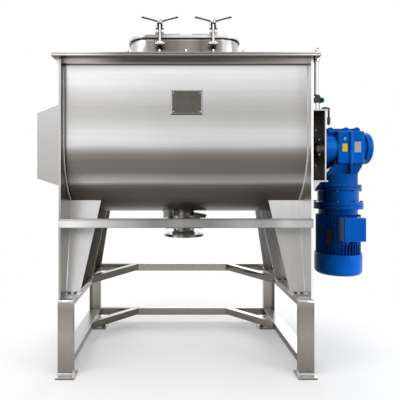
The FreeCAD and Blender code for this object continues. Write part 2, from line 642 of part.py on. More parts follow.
def hatch_neck():
    outer = rounded_block("neck_length", "neck_width", "neck_corner", (DECK, f"{DECK} + neck_height"))
    inner = rounded_block("neck_length - 2*neck_wall", "neck_width - 2*neck_wall",
                          "neck_corner - neck_wall", (f"{DECK} - 1", f"{DECK} + neck_height + 1"))
    keep("hatch_neck", less(outer, inner))


def hatch_lid():
    """Lid: a skirted tray with a raised middle, hinge arms at the rear and clamp forks in front."""
    grow = "2*(lid_skirt_gap + lid_wall)"
    low = f"({LID_TOP} - lid_skirt)"
    raise_top = f"({LID_TOP} + lid_raise)"
    raised_corner = "(neck_corner + lid_skirt_gap + lid_wall - lid_ledge)"
    tray = rounded_block(f"neck_length + {grow}", f"neck_width + {grow}",
                         "neck_corner + lid_skirt_gap + lid_wall", (low, LID_TOP))
    raised = rounded_block(f"neck_length + {grow} - 2*lid_ledge", f"neck_width + {grow} - 2*lid_ledge",
                           raised_corner, (f"{LID_TOP} - 1", raise_top))
    crown = round_edges(raised, "lid_raise*0.6",
                        lambda edge: edge.BoundBox.ZMin > raised.Shape.BoundBox.ZMax - TOUCH)
    tray_inside = rounded_block("neck_length + 2*lid_skirt_gap", "neck_width + 2*lid_skirt_gap",
                                "neck_corner + lid_skirt_gap", (f"{low} - 1", LID_UNDER))
    raised_inside = rounded_block(f"neck_length + {grow} - 2*lid_ledge - 2*lid_wall",
                                  f"neck_width + {grow} - 2*lid_ledge - 2*lid_wall",
                                  f"{raised_corner} - lid_wall",
                                  (f"{LID_UNDER} - 1", f"{raise_top} - lid_wall"))
    keep("hatch_lid", less(union(tray, crown), tray_inside, raised_inside))
    keep("hatch_gasket", less(rounded_block("neck_length", "neck_width", "neck_corner",
                                            (f"{DECK} + neck_height", LID_UNDER)),
                              rounded_block("neck_length - 28", "neck_width - 28", "neck_corner - 14",
                                            (f"{DECK} + neck_height - 1", f"{LID_UNDER} + 1"))))


def hinge():
    """Rear hinge: two pairs of ears on the neck, two arms on the lid, two pins."""
    half_arm = "hinge_arm_width/2"
    inner_ear = f"({half_arm} + ear_gap)"
    wall_y = "neck_width/2"
    low_z = f"({LID_TOP} - lid_skirt - 6)"
    ear_front = f"{wall_y} + lid_skirt_gap + lid_wall + 4"
    for side in ("-hinge_spread", "hinge_spread"):
        for sign in "+-":
            middle = f"({side} {sign} ({inner_ear} + ear_wall/2))"
            outline = [(wall_y, f"{low_z} - 50"), (wall_y, low_z), (ear_front, low_z),
                       (ear_front, f"{HINGE_Z} + 8"), (f"{HINGE_LINE} + 14", f"{HINGE_Z} + 8"),
                       (f"{HINGE_LINE} + 14", f"{HINGE_Z} - 14")]
            bore = rod("X", "hinge_pin_radius", f"{middle} - ear_wall", f"{middle} + ear_wall",
                       (HINGE_LINE, HINGE_Z))
            gather("hatch_lugs", less(prism("YZ", outline, "ear_wall", middle), bore))
        strap = box((f"{side} - {half_arm}", f"{side} + {half_arm}"),
                    ("neck_width/2 + lid_skirt_gap + lid_wall - lid_ledge", HINGE_LINE),
                    (LID_TOP, f"{LID_TOP} + 12"))
        eye = rod("X", "hinge_eye_radius", f"{side} - {half_arm}", f"{side} + {half_arm}",
                  (HINGE_LINE, HINGE_Z))
        bore = rod("X", "hinge_pin_radius + running_gap", f"{side} - hinge_arm_width",
                   f"{side} + hinge_arm_width", (HINGE_LINE, HINGE_Z))
        lid_edge = box((f"{side} - hinge_arm_width", f"{side} + hinge_arm_width"),
                       (0, f"{wall_y} + lid_skirt_gap + lid_wall"), (DECK, LID_TOP))
        gather("lid_brackets", less(union(strap, eye), bore, lid_edge))
        gather("hatch_pins", rod("X", "hinge_pin_radius", f"{side} - {inner_ear} - ear_wall - 3",
                                 f"{side} + {inner_ear} + ear_wall + 3", (HINGE_LINE, HINGE_Z)))


def lid_handles():
    """Two low bar handles welded on the lid's raised middle."""
    top = f"({LID_TOP} + lid_raise)"
    handles = []
    y = "-neck_width/2 + handle_setback"
    over = f"{top} + handle_lift"
    for x in ("(handle_offset - handle_spread)", "(handle_offset + handle_spread)"):
        bar = rod("X", "handle_radius", f"{x} - handle_half_length", f"{x} + handle_half_length", (y, over))
        posts = [rod("Z", "handle_radius", top, over,
                     (f"{x} {sign} (handle_half_length - handle_radius)", y)) for sign in "+-"]
        handles.append(union(bar, *posts))
    keep("lid_handles", group(*handles))


def clamps():
    """Swing bolts on the hatch neck's front, their wing nuts, and the slotted forks on the lid."""
    spots = {"left": "(clamp_offset - clamp_spread)", "right": "(clamp_offset + clamp_spread)"}
    half_eye = "clamp_eye_width/2"
    for name, x in spots.items():
        for sign in "+-":
            middle = f"({x} {sign} ({half_eye} + ear_gap/2 + ear_wall/2))"
            outline = [("-neck_width/2", f"{CLAMP_Z} - 26"), ("-neck_width/2", f"{CLAMP_Z} + 16"),
                       (f"{CLAMP_LINE} - 8", f"{CLAMP_Z} + 14"), (f"{CLAMP_LINE} - 15", f"{CLAMP_Z} + 4"),
                       (f"{CLAMP_LINE} - 15", f"{CLAMP_Z} - 8"), (f"{CLAMP_LINE} - 4", f"{CLAMP_Z} - 14")]
            bore = rod("X", "hinge_pin_radius", f"{middle} - ear_wall", f"{middle} + ear_wall",
                       (CLAMP_LINE, CLAMP_Z))
            gather("hatch_lugs", less(prism("YZ", outline, "ear_wall", middle), bore))
        end = f"{half_eye} + ear_gap/2 + ear_wall + 4"
        gather("hatch_pins", rod("X", "hinge_pin_radius", f"{x} - ({end})", f"{x} + {end}",
                                 (CLAMP_LINE, CLAMP_Z)))
        rod_top = f"{CLAMP_Z} + clamp_seat + nut_height + 14"
        eye = rod("X", "clamp_eye_radius", f"{x} - {half_eye}", f"{x} + {half_eye}", (CLAMP_LINE, CLAMP_Z))
        pin_hole = rod("X", "hinge_pin_radius + running_gap", f"{x} - clamp_eye_width",
                       f"{x} + clamp_eye_width", (CLAMP_LINE, CLAMP_Z))
        swing = less(union(eye, rod("Z", "clamp_rod_radius", CLAMP_Z, rod_top, (x, CLAMP_LINE))), pin_hole)
        keep(f"swing_bolt_{name}", swing)
        seat_z = f"{CLAMP_Z} + clamp_seat"
        boss_z = f"{seat_z} + nut_height"
        bore = rod("Z", "clamp_rod_radius + running_gap", f"{seat_z} - 1", f"{rod_top} + 1", (x, CLAMP_LINE))
        body = union(rod("Z", "nut_radius", seat_z, boss_z, (x, CLAMP_LINE)),
                     rod("Z", "boss_radius", boss_z, f"{boss_z} + boss_height", (x, CLAMP_LINE)),
                     *[wing_arm(x, boss_z, sign) for sign in (1, -1)])
        keep(f"wing_nut_{name}", less(body, bore))
        fork_y = (f"{CLAMP_LINE} - 12", "-neck_width/2 - lid_skirt_gap - lid_wall + lid_ledge")
        block = box((f"{x} - fork_half_width", f"{x} + fork_half_width"), fork_y,
                    (LID_TOP, f"{seat_z} + 10"))
        seat_arc = rod("X", "clamp_seat - seat_gap", f"{x} - 50", f"{x} + 50", (CLAMP_LINE, CLAMP_Z))
        slot = box((f"{x} - fork_slot/2", f"{x} + fork_slot/2"), (f"{CLAMP_LINE} - 40", f"{CLAMP_LINE} + 10"),
                   (DECK, f"{seat_z} + 20"))
        gather("lid_brackets", less(overlap(block, seat_arc), slot))


def wing_arm(x, boss_z, sign):
    """A raised handle arm: a slanting rod with a ball end."""
    rise = number("arm_rise")
    run = number("arm_reach - boss_radius/2")
    slope = math.degrees(math.atan2(rise, run))
    item = doc.addObject("Part::Cylinder", "Arm")
    level = "(arm_reach - boss_radius/2)"
    bind(item, {"Radius": "arm_radius", "Height": f"sqrt({level}*{level} + arm_rise*arm_rise)"})
    seat(item, f"{x} + {sign}*boss_radius/2", CLAMP_LINE, f"{boss_z} + 4",
         FreeCAD.Rotation(FreeCAD.Vector(0, 1, 0), sign * (90 - slope)))
    tip = ball("arm_radius + 1.5", f"{x} + {sign}*arm_reach", CLAMP_LINE, f"{boss_z} + 4 + arm_rise")
    return union(item, tip)


# ---------------------------------------------------------------- rotor

def ribbon(radius, width, handed, start):
    """A flat strip wound as a helix round the shaft, from one end of the trough to the other."""
    outer = number(radius)
    inner = outer - number(width)
    length = number(RIBBON_LENGTH)
    pitch = length / RIBBON_TURNS
    half = number("ribbon_thickness") / 2
    middle = (outer + inner) / 2
    spine = Part.makeHelix(pitch, length, middle, 0, handed)
    corners = [(inner, -half), (outer, -half), (outer, half), (inner, half), (inner, -half)]
    profile = Part.makePolygon([FreeCAD.Vector(r, 0, z) for r, z in corners])
    strip = Part.Wire(spine.Edges).makePipeShell([profile], True, True)
    strip.rotate(FreeCAD.Vector(), FreeCAD.Vector(0, 0, 1), start)
    strip.rotate(FreeCAD.Vector(), FreeCAD.Vector(0, 1, 0), 90)
    return strip


def ribbons(name, radius, width, handed):
    item = doc.addObject("Part::Feature", name)
    item.Shape = Part.makeCompound([ribbon(radius, width, handed, start) for start in (0, 180)])
    seat(item, f"-{RIBBON_LENGTH}/2", 0, "axis_height")
    bind(item, {"Placement.Base.x": f"{SHIFT_X} - {RIBBON_LENGTH}/2"})
    item.Label = name
    parts.append(item)


def rotor():
    axis = (0, "axis_height")
    tail = f"-{END_OUT} - tail_end + 6"
    journal = f"({END_OUT} + seal_length + 14)"
    drive = f"{BLOCK_END} - 12"
    shaft = union(rod("X", "shaft_radius", "-trough_length/2 + 3", "trough_length/2 - 3", axis),
                  rod("X", "journal_radius", f"-{journal}", journal, axis),
                  rod("X", "drive_end_radius", tail, drive, axis))
    keep("main_shaft", shaft)
    ribbons("outer_ribbons", "outer_ribbon_radius", "outer_ribbon_width", False)
    ribbons("inner_ribbons", "inner_ribbon_radius", "inner_ribbon_width", True)
    spokes = []
    reach = "outer_ribbon_radius - outer_ribbon_width + weld_depth"
    for k in range(SPOKE_STEPS + 1):
        x = f"{RIBBON_LENGTH}*({k}/{SPOKE_STEPS} - 1/2)"
        root = "shaft_radius - weld_depth"
        for sign in (1, -1):
            if k % 2 == 0:
                ends = (f"axis_height + {root}", f"axis_height + {reach}") if sign > 0 else \
                    (f"axis_height - ({reach})", f"axis_height - ({root})")
                spokes.append(rod("Z", "spoke_radius", *ends, (x, 0)))
            else:
                ends = (root, reach) if sign > 0 else (f"-({reach})", f"-({root})")
                spokes.append(rod("Y", "spoke_radius", *ends, (x, "axis_height")))
    keep("spokes", group(*spokes))


# ---------------------------------------------------------------- shaft ends

def seal_housing():
    """Left stuffing box: flange on the end plate, body round the packing."""
    axis = (0, "axis_height")
    out = f"-{END_OUT}"
    body = union(rod("X", "seal_flange_radius", f"{out} - seal_flange_thickness", out, axis),
                 rod("X", "seal_body_radius", f"{out} - seal_length", out, axis))
    return less(body, rod("X", "packing_radius", f"{out} - seal_length + 10", f"{out} + 1", axis),
                rod("X", "journal_radius + 2", f"{out} - seal_length - 1", out, axis))


def seals():
    axis = (0, "axis_height")
    gather("seal_housings", *both_sides(seal_housing))
    gather("shaft_packings", *both_sides(lambda: ring("X", "packing_radius", "journal_radius + running_gap",
                                                      f"-{END_OUT} - seal_length + 10",
                                                      "-trough_length/2", axis)))
    near = f"-{END_OUT} - seal_flange_thickness"
    for y, z in ring_points("seal_flange_radius - 12", 8, 22.5):
        spot = (y, f"axis_height + {z}")
        gather("fasteners", *both_sides(lambda: hexagon("X", "seal_bolt_radius", f"{near} - bolt_head",
                                                        near, spot)))


def tail_bearing():
    """Flanged bearing unit bolted on the tail seal housing."""
    axis = (0, "axis_height")
    near = f"(-{END_OUT} - seal_length)"
    far = f"({near} - bearing_length)"
    flange = box((f"{near} - 16", near), ("-72", "72"), ("axis_height - 72", "axis_height + 72"))
    body = less(union(flange, rod("X", "bearing_body_radius", far, near, axis)),
                rod("X", "bearing_ring_radius", f"{near} - 14 - 24", f"{near} - 14", axis),
                rod("X", "journal_radius + 2", f"{near} - 15", f"{near} + 1", axis),
                rod("X", "drive_end_radius + 2", f"{far} - 1", near, axis))
    keep("tail_bearing_housing", body)
    keep("tail_bearing", ring("X", "bearing_ring_radius", "drive_end_radius + running_gap",
                              f"{near} - 14 - 24", f"{near} - 14", axis))


def frustum(base, tip, length, start):
    """A four-sided taper lying along -X, its base at start."""
    item = doc.addObject("Part::Wedge", "Frustum")
    bind(item, {"Xmin": f"-({base})/2", "Xmax": f"({base})/2", "Zmin": f"-({base})/2", "Zmax": f"({base})/2",
                "X2min": f"-({tip})/2", "X2max": f"({tip})/2", "Z2min": f"-({tip})/2", "Z2max": f"({tip})/2",
                "Ymin": 0, "Ymax": length})
    return seat(item, start, 0, "axis_height", FreeCAD.Rotation(FreeCAD.Vector(0, 0, 1), 90))


def tail_guard():
    outer = frustum("guard_base", "guard_tip", "guard_length", f"-{END_OUT}")
    inner = frustum("guard_base - 2*guard_wall", "guard_tip - 2*guard_wall + 1", "guard_length - guard_wall",
                    f"-{END_OUT}")
    keep("tail_guard", less(outer, inner))
    slope = math.degrees(math.atan2(number("(guard_base - guard_tip)/2"), number("guard_length")))
    drop = "(guard_base/2 - guard_screw_inset*(guard_base - guard_tip)/2/guard_length)"
    for along in ("-guard_base/2 + 50", "0", "guard_base/2 - 50"):
        for sign in (1, -1):
            face_y = doc.addObject("Part::Cylinder", "Screw")
            bind(face_y, {"Radius": "guard_screw_radius", "Height": "guard_screw_height"})
            seat(face_y, f"-{END_OUT} - guard_screw_inset", f"{sign}*{drop}", f"axis_height + {along}",
                 FreeCAD.Rotation(FreeCAD.Vector(0, 0, 1), sign * slope)
                 * FreeCAD.Rotation(FreeCAD.Vector(1, 0, 0), -90 * sign))
            gather("fasteners", face_y)


# ---------------------------------------------------------------- drive bracket

def drive_bracket():
    out = END_OUT
    y = ("-bracket_size/2", "bracket_size/2")
    face = (f"{out} + bracket_face - bracket_wall", f"{out} + bracket_face")
    reach = (out, f"{out} + bracket_reach")
    between = (f"{BRACKET_LOW} + bracket_wall", f"{BRACKET_TOP} - bracket_wall")
    gather("bracket_plates", box(reach, y, (between[1], BRACKET_TOP)))
    gather("bracket_plates", box(reach, y, (BRACKET_LOW, between[0])))
    gather("bracket_plates", box((out, face[0]), ("bracket_size/2 - bracket_wall", "bracket_size/2"),
                                 between))
    shaft_hole = rod("X", "gear_bearing_radius", f"{face[0]} - 1", f"{face[1]} + 1", (0, "axis_height"))
    keep("bracket_face", less(box(face, y, between), shaft_hole))
    outline = [(out, BRACKET_LOW), (f"{out} + bracket_reach - 42", BRACKET_LOW),
               (out, f"{BRACKET_LOW} - bracket_gusset_drop")]
    for middle in ("-bracket_size/2 + bracket_gusset_wall", "bracket_size/2 - bracket_gusset_wall"):
        gather("bracket_plates", prism("XZ", outline, "bracket_gusset_wall", middle))
    for across, up in ring_points("gear_flange_radius - 13", 8, 22.5):
        gather("fasteners", hexagon("X", "flange_bolt_radius", f"{face[0]} - bolt_head", face[0],
                                    (across, f"axis_height + {up}")))


def air_purge():
    """Seal-air line: standpipe under the rim, manifold on the bracket, and its two short feeds."""
    pipe_x = f"({END_OUT} + standpipe_inset)"
    pipe_y = "(-half_depth + standpipe_inset)"
    elbow_z = f"({BRACKET_TOP} + elbow_lift)"
    post_x = f"({END_OUT} + manifold_reach)"
    post_y = "(-bracket_size/2 + manifold_inset)"
    low = f"({BRACKET_TOP} + manifold_lift)"
    top = f"({low} + manifold_height)"
    edge_x = f"({END_OUT} + bracket_reach - air_block_inset)"
    drop_x = f"({END_OUT} + bracket_reach + 2*air_pipe_radius)"
    feed_z = f"({BRACKET_TOP} + air_block_height/2)"
    gather("air_pipes", union(rod("Z", "standpipe_radius", elbow_z, "wall_top", (pipe_x, pipe_y)),
                              rod("Z", "standpipe_collar", "wall_top - air_block_height", "wall_top",
                                  (pipe_x, pipe_y)),
                              ball("standpipe_radius*1.1", pipe_x, pipe_y, elbow_z)))
    block = union(box((f"{post_x} - manifold_width/2 - 2", f"{post_x} + manifold_width/2 - 2"),
                      (f"{post_y} - manifold_width/4", f"{post_y} + manifold_width/4"), (low, top)),
                  cone("Z", "air_cap_radius", "air_pipe_radius*2", top, f"{top} + air_cap_height",
                       (post_x, post_y)))
    gather("air_manifold", block)
    gather("air_pipes", *[rod("Z", "air_feed_radius", BRACKET_TOP, low, (f"{post_x} {step}", post_y))
                          for step in ("- manifold_width/8", "+ manifold_width*3/16")])
    gather("air_manifold", union(box((f"{edge_x} - 4*air_pipe_radius", edge_x),
                                     (f"{post_y} - 2*air_pipe_radius", f"{post_y} + 2*air_pipe_radius"),
                                     (BRACKET_TOP, f"{BRACKET_TOP} + air_block_height")),
                                 rod("X", "air_pipe_radius", edge_x, drop_x, (post_y, feed_z)),
                                 ball("air_block_height/2", drop_x, post_y, feed_z),
                                 rod("Z", "air_pipe_radius", f"{BRACKET_TOP} - air_drop", feed_z,
                                     (drop_x, post_y)),
                                 rod("Z", "air_sleeve_radius", f"{BRACKET_TOP} - air_drop + air_pipe_radius",
                                     f"{BRACKET_TOP} - air_drop/2", (drop_x, post_y))))
    start = FreeCAD.Vector(number(pipe_x), number(f"{pipe_y} + standpipe_radius*1.1"), number(elbow_z))
    end = FreeCAD.Vector(number(f"{post_x} - manifold_width/2 - 2"), number(post_y),
                         number(f"{low} + manifold_height/2"))
    corner = FreeCAD.Vector(start.x, end.y, end.z)
    bend_radius = number("air_bend_radius")
    into = FreeCAD.Vector(corner - start).normalize()
    away = FreeCAD.Vector(end - corner).normalize()
    arc_start = corner - into * bend_radius
    arc_end = corner + away * bend_radius
    arc_middle = corner - into * bend_radius * 0.29289 + away * bend_radius * 0.29289
    path = Part.Wire([Part.LineSegment(start, arc_start).toShape(),
                      Part.Arc(arc_start, arc_middle, arc_end).toShape(),
                      Part.LineSegment(arc_end, end).toShape()])
    profile = Part.Wire(Part.makeCircle(number("air_pipe_radius"), start, into))
    item = doc.addObject("Part::Feature", "AirLine")
    item.Shape = path.makePipeShell([profile], True, False)
    gather("air_pipes", item)


# ---------------------------------------------------------------- gear unit

def gear_unit():
    axis = (0, "axis_height")
    motor = (MOTOR_X, 0)
    face = f"({END_OUT} + bracket_face)"
    block = box((BLOCK_X, BLOCK_END), ("-block_depth/2", "block_depth/2"),
                ("axis_height - block_height/2", "axis_height + block_height/2"))
    soft = round_edges(block, "casting_wall", lambda edge: edge.Length > 10)
    flange = rod("X", "gear_flange_radius", face, f"{face} + gear_flange_thickness", axis)
    neck = cone("X", "gear_neck_radius", "block_height/2 - 6", f"{face} + gear_flange_thickness",
                f"{BLOCK_X} + 12", axis)
    under = "axis_height - block_height/2"
    column = rod("Z", "column_radius", "input_face", "column_top", motor)
    shoulder = prism("XZ", [(f"{MOTOR_X} - column_radius + 10", "column_top - 12"),
                            (f"{MOTOR_X} + column_radius - 6", "column_top - 12"),
                            (f"{BLOCK_END} - 4", f"{under} + 12"), (f"{BLOCK_X} + 4", f"{under} + 12")],
                     "block_depth - 44")
    roof = "(axis_height + block_height/2)"
    pad = box((f"{face} + gear_flange_thickness - 4", f"{BLOCK_END} - 14"),
              ("-block_depth/2 + 30", "block_depth/2 - 30"), (f"{roof} - 14", f"{roof} + top_pad_height"))
    lug_z = f"({roof} + top_pad_height - top_lug_radius + 8)"
    lugs = [rod("Y", "top_lug_radius", "-block_depth/2 + 22", "block_depth/2 - 22",
                (f"{BLOCK_X} + block_length*{share}", lug_z)) for share in TOP_LUG_SHARES]
    base = rod("Z", "input_flange_radius", "input_face", "input_face + input_flange_thickness", motor)
    rib = box((f"{BLOCK_X} + 74", f"{BLOCK_X} + 90"), ("-block_depth/2 - 8", "-block_depth/2 + 20"),
              ("axis_height - 172", "axis_height + block_height/2 - 4"))
    rear_rib = box((f"{BLOCK_X} + 74", f"{BLOCK_X} + 90"), ("block_depth/2 - 20", "block_depth/2 + 8"),
                   ("axis_height - 172", "axis_height + block_height/2 - 4"))
    wall = "casting_wall"
    cavity = box((f"{BLOCK_X} + {wall}", f"{BLOCK_END} - {wall}"),
                 (f"-block_depth/2 + {wall}", f"block_depth/2 - {wall}"),
                 (f"axis_height - block_height/2 + {wall}", f"axis_height + block_height/2 - {wall}"))
    bore = rod("X", "gear_bearing_radius", f"{face} - 1", f"{BLOCK_END} + 1", axis)
    shaft_well = rod("Z", "column_radius - 52", "input_face - 1", f"{under} + 20", motor)
    keep("gear_housing", less(union(soft, flange, neck, column, shoulder, pad, *lugs, base, rib, rear_rib),
                              cavity, bore, shaft_well))
    rear = f"{BLOCK_END} + 18"
    cap = union(rod("X", "end_cover_radius - 10", BLOCK_END, rear, axis),
                rod("X", "end_cover_radius", rear, COVER_END, axis))
    smooth = round_edges(cap, "casting_wall*2",
                         lambda edge: edge.BoundBox.XMin > cap.Shape.BoundBox.XMax - TOUCH)
    shaft_space = rod("X", "gear_bearing_radius", f"{BLOCK_END} - 1", f"{COVER_END} - casting_wall", axis)
    keep("gear_end_cover", less(smooth, shaft_space))
    inner = f"{face} + 4"
    gather("output_gear", ring("X", "hollow_shaft_radius", "drive_end_radius", inner,
                               f"{BLOCK_END} - 2", axis))
    near = f"{face} + 8"
    far = f"{BLOCK_END} - 6 - gear_bearing_width"
    gather(
        "drive_bearings",
        ring("X", "gear_bearing_radius", "hollow_shaft_radius + running_gap", near,
             f"{near} + gear_bearing_width", axis),
        ring("X", "gear_bearing_radius", "hollow_shaft_radius + running_gap", far,
             f"{far} + gear_bearing_width", axis))
    wheel_x = f"{MOTOR_X} + motor_shaft_radius + 6"
    wheel_radius = "(block_height/2 - casting_wall - 14)"
    gather("output_gear", less(cone("X", wheel_radius, f"{wheel_radius} - 10", wheel_x,
                                    f"{wheel_x} + 30", axis),
                               rod("X", "hollow_shaft_radius", f"{wheel_x} - 1", f"{wheel_x} + 31", axis)))
    gather("fasteners", rod("Y", 9, "-block_depth/2 - 5", "-block_depth/2",
                            (f"{BLOCK_X} + 44", "axis_height + 52")),
           hexagon("X", 10, BLOCK_END, f"{BLOCK_END} + 8", ("-block_depth/2 + 20", "axis_height - 78")))
    plate = ("-block_depth/2 - 1.5", "-block_depth/2")
    gather("blank_labels", box((f"{BLOCK_X} + 30", f"{BLOCK_X} + 60"), plate,
                               ("axis_height - 26", "axis_height + 22")),
           box((f"{BLOCK_X} + 103", f"{BLOCK_X} + 143"), plate, ("axis_height - 30", "axis_height + 34")))


def adapter():
    """Bell housing between the gear unit and the motor."""
    motor = (MOTOR_X, 0)
    top = "input_face"
    low = "motor_face"
    body = union(rod("Z", "input_flange_radius", f"{top} - input_flange_thickness", top, motor),
                 rod("Z", "adapter_neck_radius", low, top, motor),
                 rod("Z", "motor_flange_radius", low, f"{low} + motor_flange_thickness", motor))
    hollow = rod("Z", "adapter_neck_radius - casting_wall", f"{low} - 1", f"{top} + 1", motor)
    keep("motor_adapter", less(body, hollow))
    under = f"{top} - input_flange_thickness"
    over = f"{low} + motor_flange_thickness"
    for x, y in ring_points("input_flange_radius - 8", 8, 22.5):
        gather("fasteners", hexagon("Z", "small_bolt_radius", f"{under} - bolt_head", under,
                                    (f"{MOTOR_X} + {x}", y)))
    for x, y in ring_points("motor_flange_radius - 13", 8, 22.5):
        gather("fasteners", hexagon("Z", "motor_bolt_radius", over, f"{over} + bolt_head",
                                    (f"{MOTOR_X} + {x}", y)))


# ---------------------------------------------------------------- motor

def finned_barrel():
    """Motor frame: a barrel with cooling fins patterned round it."""
    body = doc.addObject("PartDesign::Body", "Barrel")
    height = "motor_face - motor_flange_thickness - motor_neck_height - motor_bottom"
    profile = body.newObject("Sketcher::SketchObject", "BarrelCircle")
    profile.AttachmentSupport = [(origin_plane(body, "XY_Plane"), "")]
    profile.MapMode = "FlatFace"
    radius = number("motor_barrel_radius")
    profile.addGeometry(Part.Circle(FreeCAD.Vector(), FreeCAD.Vector(0, 0, 1), radius))
    profile.addConstraint(Sketcher.Constraint("Coincident", 0, 3, -1, 1))
    index = profile.addConstraint(Sketcher.Constraint("Radius", 0, radius))
    profile.setExpression(f"Constraints[{index}]", linked("motor_barrel_radius"))
    pad = body.newObject("PartDesign::Pad", "BarrelPad")
    pad.Profile = profile
    bind(pad, {"Length": height})
    corners = [("motor_barrel_radius - 3", "-fin_width/2"), ("fin_radius", "-fin_width/2"),
               ("fin_radius", "fin_width/2"), ("motor_barrel_radius - 3", "fin_width/2")]
    fin_sketch = sketch_outline(body, "XY", corners)
    fin = body.newObject("PartDesign::Pad", "Fin")
    fin.Profile = fin_sketch
    bind(fin, {"Length": height})
    doc.recompute()
    pattern = body.newObject("PartDesign::PolarPattern", "Fins")
    pattern.Originals = [fin]
    pattern.Axis = (fin_sketch, ["N_Axis"])
    pattern.Angle = 360
    pattern.Occurrences = FIN_COUNT
    body.Tip = pattern
    return seat(body, MOTOR_X, 0, "motor_bottom")


def is_lowest(edge, item):
    return edge.BoundBox.ZMax < item.Shape.BoundBox.ZMin + TOUCH


def motor():
    axis = (MOTOR_X, 0)
    low = "motor_face - motor_flange_thickness"
    flange = rod("Z", "motor_flange_radius", low, "motor_face", axis)
    pad_y = ("-box_front + box_depth", "-motor_barrel_radius + 12")
    box_pad = box((f"{MOTOR_X} - box_width/2 + 12", f"{MOTOR_X} + box_width/2 - 12"), pad_y,
                  (f"{BOX_CENTRE} - box_height/2 + 12", f"{BOX_CENTRE} + box_height/2 - 12"))
    bore = rod("Z", "motor_barrel_radius - casting_wall", "motor_bottom + 8", f"{low} - 2", axis)
    ends = rod("Z", "motor_shaft_radius + 2", "motor_bottom - 1", "motor_face + 1", axis)
    neck = rod("Z", "motor_neck_radius", f"{low} - motor_neck_height", low, axis)
    keep("motor_frame", less(union(finned_barrel(), neck, flange, box_pad), bore, ends))
    core = ("motor_bottom + 50", f"{low} - 30")
    keep("stator_core", ring("Z", "motor_barrel_radius - casting_wall", "stator_inner", *core, axis))
    gather("motor_rotor", ring("Z", "rotor_core_radius", "motor_shaft_radius", *core, axis))
    gather("drive_bearings",
           ring("Z", 40, "motor_shaft_radius + running_gap", "motor_bottom + 8", "motor_bottom + 24", axis),
           ring("Z", 40, "motor_shaft_radius + running_gap", f"{low} - 18", f"{low} - 2", axis))
    pinion_top = "axis_height - block_height/2 + casting_wall + 16"
    pinion = cone("Z", "motor_shaft_radius + 5", "motor_shaft_radius + 1", f"{pinion_top} - 30", pinion_top,
                  axis)
    gather("motor_rotor", union(rod("Z", "motor_shaft_radius", "cowl_bottom + 45", pinion_top, axis), pinion))
    hub = ring("Z", "motor_shaft_radius + fan_hub_wall", "motor_shaft_radius", "cowl_bottom + fan_hub_rise",
               "motor_bottom - fan_hub_gap", axis)
    root = "(motor_shaft_radius + fan_blade_root)"
    blades = []
    for k in range(FAN_BLADES):
        blade = doc.addObject("Part::Box", "Blade")
        bind(blade, {"Length": f"fan_radius - {root}", "Width": "fan_blade_wall",
                     "Height": "motor_bottom - cowl_bottom - fan_blade_rise - fan_blade_gap"})
        turn = FreeCAD.Rotation(FreeCAD.Vector(0, 0, 1), 360 * k / FAN_BLADES)
        away = turn.multVec(FreeCAD.Vector(1, 0, 0))
        side = turn.multVec(FreeCAD.Vector(0, 1, 0))
        seat(blade, f"{MOTOR_X} + {root}*{away.x:.9f} - fan_blade_wall/2*{side.x:.9f}",
             f"{root}*{away.y:.9f} - fan_blade_wall/2*{side.y:.9f}", "cowl_bottom + fan_blade_rise", turn)
        blades.append(blade)
    shaft_hole = rod("Z", "motor_shaft_radius", "cowl_bottom", "motor_bottom", axis)
    keep("motor_fan", less(union(hub, *blades), shaft_hole))
    outer = rod("Z", "cowl_radius", "cowl_bottom", "motor_bottom", axis)
    shape = round_edges(outer, "cowl_corner", lambda edge: is_lowest(edge, outer))
    hollow = rod("Z", "cowl_radius - cowl_wall", "cowl_bottom + cowl_wall", "motor_bottom + 1", axis)
    shape_in = round_edges(hollow, "cowl_corner - cowl_wall", lambda edge: is_lowest(edge, hollow))
    vents = []
    for count, share in zip(VENT_COUNTS, VENT_SHARES):
        for x, y in ring_points(f"cowl_radius*{share}", count):
            vents.append(rod("Z", "vent_radius", "cowl_bottom - 1", "cowl_bottom + cowl_wall + 1",
                             (f"{MOTOR_X} + {x}", y)))
    gather("fan_cowl", less(shape, shape_in, *vents))
    cowl_ring = less(rod("Z", "cowl_radius - cowl_wall", "motor_bottom - 12", "motor_bottom", axis),
                     rod("Z", "motor_barrel_radius - 20", "motor_bottom - 13", "motor_bottom + 1", axis))
    gather("fan_cowl", cowl_ring)


